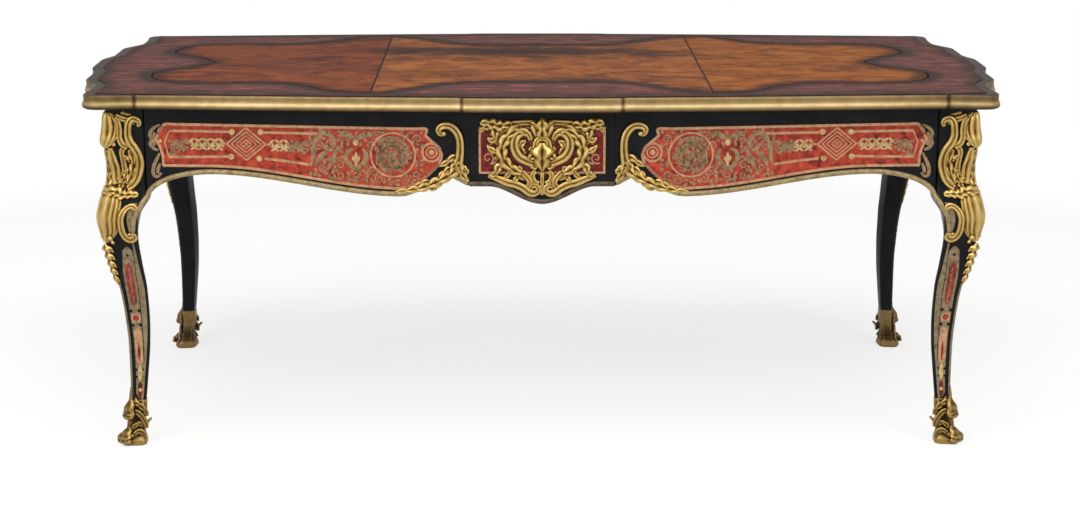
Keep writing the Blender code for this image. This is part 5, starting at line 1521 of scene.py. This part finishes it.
def sidePattern():
    # brass of one side plaque by finish: tan lines, olive scrolls, and cream strips and dots
    p = sidePanel
    b = p["border"]
    rows = panelRows()
    body = [row for row in rows if row[0] >= p["lobeStart"]]
    upper = [(p["lobeStart"] + 1, 52, b)] + [(x, high + b, b) for x, high, low in body[::5] + rows[-6:]]
    lines = [upper, [(x, low - b, b) for x, high, low in rows[2:-7:5] + rows[-7:]]]
    lines.append([(x + b, high + 0.5 * b, b) for x, high, low in p["lobe"]])
    lines.append([(x + b, low - 0.5 * b, b) for x, high, low in p["lobe"]])
    for start, stop in p["upperRuns"]:
        lines.append([(x, panelTop(x) + p["upperIn"], p["line"]) for x in np.linspace(start, stop, 12)])
    lines += [[(x, drop, p["line"]) for x, drop in line] for line in p["lowerLines"]]
    lines += [[(x, drop, p["tip"]) for x, drop in line] for line in p["tipLines"]]
    lines += diamondGroup(*p["diamond"], *p["diamondHalf"])
    ringX, ringDrop = p["rosette"]
    size = p["rosetteSize"]
    lines.append(hoop(ringX, ringDrop, size, 1.9))
    lines += [hoop(*p["lobeRing"], *sizes) for sizes in p["lobeHoops"]]
    olive = [strip for sizes in p["tangles"] for strip in tangle(*sizes)]
    olive += [spiral(*p["tipScroll"]), *(leafRows(*sizes) for sizes in p["tipLeaves"])]
    olive.append(spiral(ringX, ringDrop, size - 6, 8, -0.7, -1.9, 3.4))
    olive.append(spiral(ringX, ringDrop, size - 14, 8, 2.4, -1.4, 3.0))
    olive += acanthusScroll(ringX, ringDrop, size - 8, 1.2, -1)
    olive += [[(x, drop, p["thick"] * half) for x, drop, half in strip] for strip in p["drawn"]]
    olive += tendrils(p["tendrils"], p["tendrilSize"])
    keepOff = [(ringX, ringDrop, size + 4), (*p["lobeRing"], 24), *p["palmetteClear"]]
    keepOff += [(x, drop, p["clear"]) for strip in p["drawn"] for x, drop, half in strip]
    keepOff += [(x, drop, p["tendrilClear"]) for x, drop in p["tendrils"]]
    olive += foliage(*p["leaves"], lambda x: panelTop(x) + 6, lambda x: panelLow(x) - 3, p["foliage"],
                     keepOff)

    def bulge(x):
        return math.sqrt(max(0, p["rosetteSquare"] - (x - ringX) ** 2))

    olive += foliage(ringX - p["rosetteHalf"], ringX + p["rosetteHalf"], lambda x: ringDrop - bulge(x),
                     lambda x: ringDrop + bulge(x) + 4, p["rosettePitch"], [(ringX, ringDrop, 6)])
    pale = [strip for sizes in p["filigrees"] for strip in filigree(*sizes)]
    pale += [leafRows(*sizes) for sizes in p["palmette"]]
    marks = [(x, drop, p["dotSize"]) for x, drop in p["dots"]] + [*p["marks"],
                                                                  (*p["lobeRing"], p["lobeMark"])]
    return lines, olive, pale, marks


bracket = (           # scalloped brass on the black wood beyond the pointed end: across, drop, half width
    (
        (795, 38, 1.6), (809, 46, 3.4), (816, 57, 3.8), (813, 68, 4.2), (816, 79, 3.8), (809, 88, 3.6),
        (800, 92, 2.4)),
    (
        (797, 98, 2.0), (803, 110, 3.4), (809, 122, 3.6), (812, 134, 3.8), (811, 145, 3.4), (803, 148, 3.0),
        (795, 140, 2.0)),
    ((806, 54, 2.0), (810, 68, 4.0), (806, 82, 3.0)), ((797, 120, 2.0), (801, 131, 3.6), (803, 141, 3.0)),
)


def brassOf(strips, place, layer, marks=()):
    # one mesh of ribbons and dots in one layer; a ribbon of two rows is straight
    return joined(layer, [ribbon(rows, place, inlay[layer]) for rows in strips]
                  + [disc(*mark, place, inlay[layer]) for mark in marks])


def makeSidePanels():
    shell = joined("shell", [plate(panelRows(), onFrieze, inlay["shell"])])
    lines, olive, pale, marks = sidePattern()
    layers = (("brassLines", brassOf(lines, onFrieze, "brass"), "inlay"),
              ("brassScrolls", brassOf([*olive, *bracket], onFrieze, "under"), "oliveInlay"),
              ("paleBrass", brassOf(pale, onFrieze, "over", marks), "paleInlay"))
    for corner, sx, sy in corners:
        end = "." + corner.replace("_", ".")
        nodes = ["plaque_" + corner]
        dress("shellPanel" + end, mirrored(shell, sx, sy), "shell", nodes=nodes)
        for name, mesh, finish in layers:
            dress(name + end, mirrored(mesh, sx, sy), finish)


drawerPanel = {         # millimetres
    "half": 131, "top": 34, "low": 133, "frame": 2.2, "stations": 40,
    "leaves": 4, "leafX": 108, "leafTop": 52, "leafPitch": 20, "scroll": (112, 100, 13, 3),
}


def makeDrawerPanels():
    p = drawerPanel
    f = p["frame"]
    places = np.linspace(-p["half"], p["half"], p["stations"])
    shell = joined("shell", [plate([(x, p["top"], p["low"]) for x in places], onFrieze, inlay["shell"])])
    strips = [[(x, drop, f) for x in places] for drop in (p["top"] + f, p["low"] - f)]
    strips += [[(x, p["top"], f), (x, p["low"], f)] for x in (f - p["half"], p["half"] - f)]
    x, drop, *radii = p["scroll"]
    for side in (-1, 1):
        for k in range(p["leaves"]):
            turn = 1.57 - side * (0.9 + 0.3 * k)
            down = p["leafTop"] + p["leafPitch"] * k
            strips.append(leafRows(side * p["leafX"], down, turn + math.pi, 17, 1.8, side * 0.8))
        strips.append(spiral(side * x, drop, *radii, 1.0, side * 1.2, 1.3))
    brass = joined("brass", [ribbon(rows, onFrieze, inlay["brass"], True) for rows in strips])
    # these panels take the darker red: their own colour with painted shade for the shadows in the
    # cartouche's gaps
    dress("shellPanel.drawer", shell.copy(), "darkShellAndPaintedShade", "drawer", ["plaque_drawer"])
    dress("brassFrame.drawer", brass.copy(), "inlay", "drawer")
    dress("shellPanel.back.centre", mirrored(shell, 1, -1), "darkShellAndPaintedShade",
          nodes=["plaque_back_centre"])
    dress("brassFrame.back.centre", mirrored(brass, 1, -1), "inlay")


endPanel = {           # millimetres
    "top": 35, "margin": 16, "pointStart": 282, "pointTip": 308, "pointHalf": 8, "border": 3.0,
    "stations": 121, "lineEnd": 262, "lineIn": 12, "line": 1.3, "diamondHalf": (41, 36), "dots": (30, 27),
    "dotSize": 6, "scrolls": ((86, 30, 0.5, 1), (146, 26, 2.0, -1)), "leaves": 4, "leafStart": 62,
    "leafPitch": 34, "leafOut": 26, "filigree": 216, "filigreeHalf": (30, 12), "curl": 266, "foliage": 250,
    "clear": ((0, 52), (86, 30), (216, 34)),
}


def endLow(y):
    return endDrop(y * millimetre) / millimetre - endPanel["margin"]


def endMiddle(y):
    return (endPanel["top"] + endLow(y)) / 2


def makeEndPanels():
    p = endPanel
    b = p["border"]
    high, half = p["top"], p["pointHalf"]
    rows = []
    for y in np.linspace(-p["pointTip"], p["pointTip"], p["stations"]):
        share = max(0.0, (abs(y) - p["pointStart"]) / (p["pointTip"] - p["pointStart"]))
        middle, low = endMiddle(y), endLow(y)
        rows.append((y, high + (middle - half - high) * share, low + (middle + half - low) * share))
    shell = joined("shell", [plate(rows, onEnd, inlay["shell"])])
    strips = [[(y, upper + b, b) for y, upper, lower in rows],
              [(y, lower - b, b) for y, upper, lower in rows]]
    for (y, upper, lower), inward in ((rows[0], 2), (rows[-1], -2)):
        strips.append([(y + inward, upper, b), (y + inward, lower, b)])
    inner = np.linspace(-p["lineEnd"], p["lineEnd"], 50)
    strips.append([(y, high + p["lineIn"], p["line"]) for y in inner])
    strips.append([(y, endLow(y) - p["lineIn"], p["line"]) for y in inner])
    strips += diamondGroup(0, endMiddle(0), *p["diamondHalf"])
    along, up = p["dots"]
    marks = [(side * along, endMiddle(0) + end * up, p["dotSize"]) for side in (-1, 1) for end in (-1, 1)]
    pale = []
    wide, tall = p["filigreeHalf"]
    for side in (-1, 1):
        for y, size, start, hand in p["scrolls"]:
            strips += acanthusScroll(side * y, endMiddle(y), size, start + side, hand * side)
        for k in range(p["leaves"]):
            y = side * (p["leafStart"] + p["leafPitch"] * k)
            strips.append(leafRows(y, endMiddle(y) + p["leafOut"], -1.9 + 0.5 * side, 18, 2.2, side))
            strips.append(leafRows(y, endMiddle(y) - p["leafOut"], 1.9 - 0.5 * side, 18, 2.2, -side))
        y = p["filigree"]
        pale += filigree(side * y - wide, side * y + wide, endMiddle(y), tall)
        strips.append(spiral(side * p["curl"], endMiddle(p["curl"]), 14, 3, 1.5 + side, side * 1.2, 1.8))
    keepOff = [(side * y, endMiddle(y), size) for y, size in p["clear"] for side in (-1, 1)]
    leaves = foliage(-p["foliage"], p["foliage"], lambda y: high + 16, lambda y: endLow(y) - 14,
                     sidePanel["foliage"], keepOff)
    layers = (("brassScrolls", brassOf(strips, onEnd, "brass"), "inlay"),
              ("paleBrass", brassOf(pale, onEnd, "over", marks), "paleInlay"),
              ("brassLeaves", brassOf(leaves, onEnd, "under"), "oliveInlay"))
    for hand, sx in hands:
        nodes = ["plaque_end_" + hand]
        dress("shellPanel.end." + hand, mirrored(shell, sx, 1), "shell", nodes=nodes)
        for name, mesh, finish in layers:
            dress(name + ".end." + hand, mirrored(mesh, sx, 1), finish)


legPanel = {           # height, then start and stop of the inlay across from the arris, in millimetres
    "span": (
        (95, 10.5, 26.5), (160, 11.5, 28.5), (200, 11, 29), (250, 10.5, 30), (300, 10.5, 33), (347, 12, 37),
        (375, 16, 41), (400, 22, 46), (420, 27, 49.5), (440, 31, 52)),
    "upper": (440, 302), "cap": 404, "hole": 421, "roundel": 279, "lower": (257, 176), "knot": 155,
    "foot": (137, 100), "frame": 4.6, "gap": 1.6, "arris": (372, 100), "arrisHalf": 1.9, "footSpot": 18,
    "leaves": 7, "leafPitch": 12,
}


def legSpan(z):
    heights, starts, stops = np.array(legPanel["span"]).T
    return np.interp(z, heights, starts), np.interp(z, heights, stops)


def legField(high, low, inset, side, lift, soft=9.0):
    # round-ended field between two heights, set in from the sides of the inlay
    rows = []
    for z in np.linspace(high, low, 34):
        start, stop = legSpan(z)
        share = min(1.0, 0.25 + min(high - z, z - low) / soft)
        rows.append((side * (start + stop) / 2, z, max(0.3, (stop - start) / 2 - inset) * share))
    return ribbon(rows, onLeg, lift, True)


def legMiddle(z):
    return sum(legSpan(z)) / 2


def makeLegPanels():
    p = legPanel
    shell, under, brass, over = (inlay[layer] for layer in ("shell", "under", "brass", "over"))
    high, low = p["lower"]
    knot, spot, roundel = p["knot"], p["foot"][0] - p["footSpot"], p["roundel"]
    olive, tan, pale, reds, deep, darks = [], [], [], [], [], []
    for side in (1, -1):
        olive.append(legField(p["upper"][0], p["foot"][1], 0, side, shell))
        for edge in (p["arrisHalf"], -p["arrisHalf"]):
            rows = [(edge, z, p["arrisHalf"]) for z in np.linspace(*p["arris"], 60)]
            olive.append(ribbon(rows, onLeg, shell, True))
        tan.append(legField(high, low, 1.8, side, under))
        pale.append(legField(knot + 19, knot - 16, 4.4, side, under))
        reds.append(legField(p["cap"], p["upper"][1] + 5, p["frame"], side, brass, 14))
        reds.append(legField(high - 34, low + 6, 6.0, side, brass, 22))
        deep.append(legField(*p["foot"], 3.4, side, under))
        pale.append(disc(side * legMiddle(spot), spot, 4.0, onLeg, brass))
        darks.append(disc(side * (legMiddle(p["hole"]) - 1), p["hole"], 3.0, onLeg, brass))
        for k in range(p["leaves"]):
            z = p["cap"] - p["leafPitch"] * (k + 1)
            lean = side * (0.8 if k % 2 else -0.8)
            rows = leafRows(side * legMiddle(z) - 2.4 * lean, z, -math.pi / 2 + lean, 11, 1.6, -0.8 * lean)
            olive.append(ribbon(rows, onLeg, over))
        tan.append(disc(side * legMiddle(roundel), roundel, 10.5, onLeg, under))
        reds.append(disc(side * legMiddle(roundel), roundel, 6.5, onLeg, brass))
        for z, size in ((roundel + 16, 3.6), (roundel - 16, 3.6), (knot + 9, 2.7), (knot - 7, 2.7)):
            start, stop = legSpan(z)
            for edge in (start + 0.6 * size, stop - 0.6 * size):
                darks.append(disc(side * edge, z, size, onLeg, brass))
    for name, finish, slot, parts in (
            ("legBrass", "darkBrass", "gilt_brass", olive),
            ("legTan", "inlay", "gilt_brass", tan),
            ("legPale", "paleInlay", "gilt_brass", pale),
            ("legShell", "fadedShell", "shell_marquetry", reds),
            ("legFoot", "darkShellAndPaintedShade", "shell_marquetry", deep),
            ("legHole", "ebony", "ebonised_wood", darks)):
        atCorners(name, joined(name, parts), finish)


makeSidePanels()
makeDrawerPanels()
makeEndPanels()
makeLegPanels()
print("marquetry ready")


# Swept bead along the lower edges: one tree, a path in and a half-sunk rod out
bead = {
    "radius": 0.0056, "sides": 12, "rise": 0.0046, "lift": 0.0005, "crease": 60.0, "drawerHalf": 0.1505,
    "clear": (0.002, 0.001), "stations": (110, 60, 90), "legRun": (0.004, 0.086), "legStations": 24,
    "out": 0.006, "turnIn": 0.004, "sink": 0.0050, "legEnd": 96, "stripIn": 3.0, "stripLeast": 4,
    "stripMost": 12,
}


def beadTree():
    tree = bpy.data.node_groups.new("sweptBead", "GeometryNodeTree")
    tree.interface.new_socket("Path", in_out="INPUT", socket_type="NodeSocketGeometry")
    radius = tree.interface.new_socket("Bead Radius", in_out="INPUT", socket_type="NodeSocketFloat")
    radius.default_value = bead["radius"]
    sides = tree.interface.new_socket("Sides", in_out="INPUT", socket_type="NodeSocketInt")
    sides.default_value = bead["sides"]
    tree.interface.new_socket("Bead", in_out="OUTPUT", socket_type="NodeSocketGeometry")
    start = addNode(tree, "NodeGroupInput")
    path = addNode(tree, "GeometryNodeMeshToCurve", {"Mesh": start.outputs["Path"]})
    circle = addNode(tree, "GeometryNodeCurvePrimitiveCircle", {
        "Resolution": start.outputs["Sides"], "Radius": start.outputs["Bead Radius"]})
    rod = addNode(tree, "GeometryNodeCurveToMesh", {
        "Curve": path, "Profile Curve": circle, "Fill Caps": True})
    whole = addNode(tree, "GeometryNodeRealizeInstances", {"Geometry": rod})
    gilded = addNode(tree, "GeometryNodeSetMaterial", {"Geometry": whole, "Material": finishes["bead"]})
    addNode(tree, "NodeGroupOutput", {"Bead": gilded})
    return tree, {"Bead Radius": radius.identifier, "Sides": sides.identifier}


def grown(tree, keys, points, values):
    # plain mesh that a tree makes from a path
    mesh = bpy.data.meshes.new("path")
    mesh.from_pydata([tuple(point) for point in points], [(k, k + 1) for k in range(len(points) - 1)], [])
    item = bpy.data.objects.new("grown", mesh)
    bpy.context.scene.collection.objects.link(item)
    modifier = item.modifiers.new("grow", "NODES")
    modifier.node_group = tree
    for name, value in values.items():
        modifier[keys[name]] = value
    graph = bpy.context.evaluated_depsgraph_get()
    result = bpy.data.meshes.new_from_object(item.evaluated_get(graph))
    item.modifiers.remove(modifier)
    bpy.data.objects.remove(item, do_unlink=True)
    return result


def legBead(z, end):
    # where the bead runs on from the apron down the leg and sinks into it
    share = ease((springZ - z) / bead["legRun"][1])
    start, wide = legFace(z)
    across = start + wide + bead["out"] * (1 - share) - bead["turnIn"] * share
    return onLeg(-across if end else across, z, bead["lift"] - bead["sink"] * share)


def legStrip(side):
    # flat brass strip between the inlay and the inner edge of an outer face of the front right leg
    rows = []
    for z in np.linspace(springZ / millimetre - 2, bead["legEnd"], 80):
        start, wide = legFace(z * millimetre)
        edge = (start + wide) / millimetre - bead["stripIn"]
        inner = max(legSpan(z)[1] + legPanel["gap"], edge - bead["stripMost"])
        inner = min(edge - bead["stripLeast"], inner)
        rows.append((side * (inner + edge) / 2, z, (edge - inner) / 2))
    return ribbon(rows, onLeg, inlay["brass"], True)


def friezeBead(places):
    return [onFrieze(x, apronDrop(x) - bead["rise"], bead["lift"]) for x in places]


def makeBeads():
    tree, keys = beadTree()
    sizes = {"Bead Radius": bead["radius"], "Sides": bead["sides"]}
    crease = bead["crease"]
    half = bead["drawerHalf"]
    start, stop = bead["clear"]
    frontCount, endCount, drawerCount = bead["stations"]
    down = np.linspace(*(springZ - run for run in bead["legRun"]), bead["legStations"])
    front = friezeBead(crowded(apronEdge["drawerHalf"] + start, innerX - stop, frontCount))
    front += [legBead(z, False) for z in down]
    side = crowded(0.0, innerY - stop, endCount)
    side = [onEnd(-y, endDrop(y) - bead["rise"], bead["lift"]) for y in side]
    side += [legBead(z, True) for z in down]
    drawer = grown(tree, keys, friezeBead(np.linspace(-half, half, drawerCount)), sizes)
    dress("drawerBead", drawer.copy(), "smokedBrass", "drawer", crease=crease)
    dress("backBead", mirrored(drawer, 1, -1), "smokedBrass", crease=crease)
    pieces = (("edgeBead.", grown(tree, keys, front, sizes), "bead", crease),
              ("endBead.", grown(tree, keys, side, sizes), "bead", crease),
              ("legStrip.", joined("strips", [legStrip(1), legStrip(-1)]), "darkBrass", softCrease))
    for corner, sx, sy in corners:
        for name, mesh, finish, angle in pieces:
            dress(name + corner, mirrored(mesh, sx, sy), finish, crease=angle)


makeBeads()
print("edge beads ready")
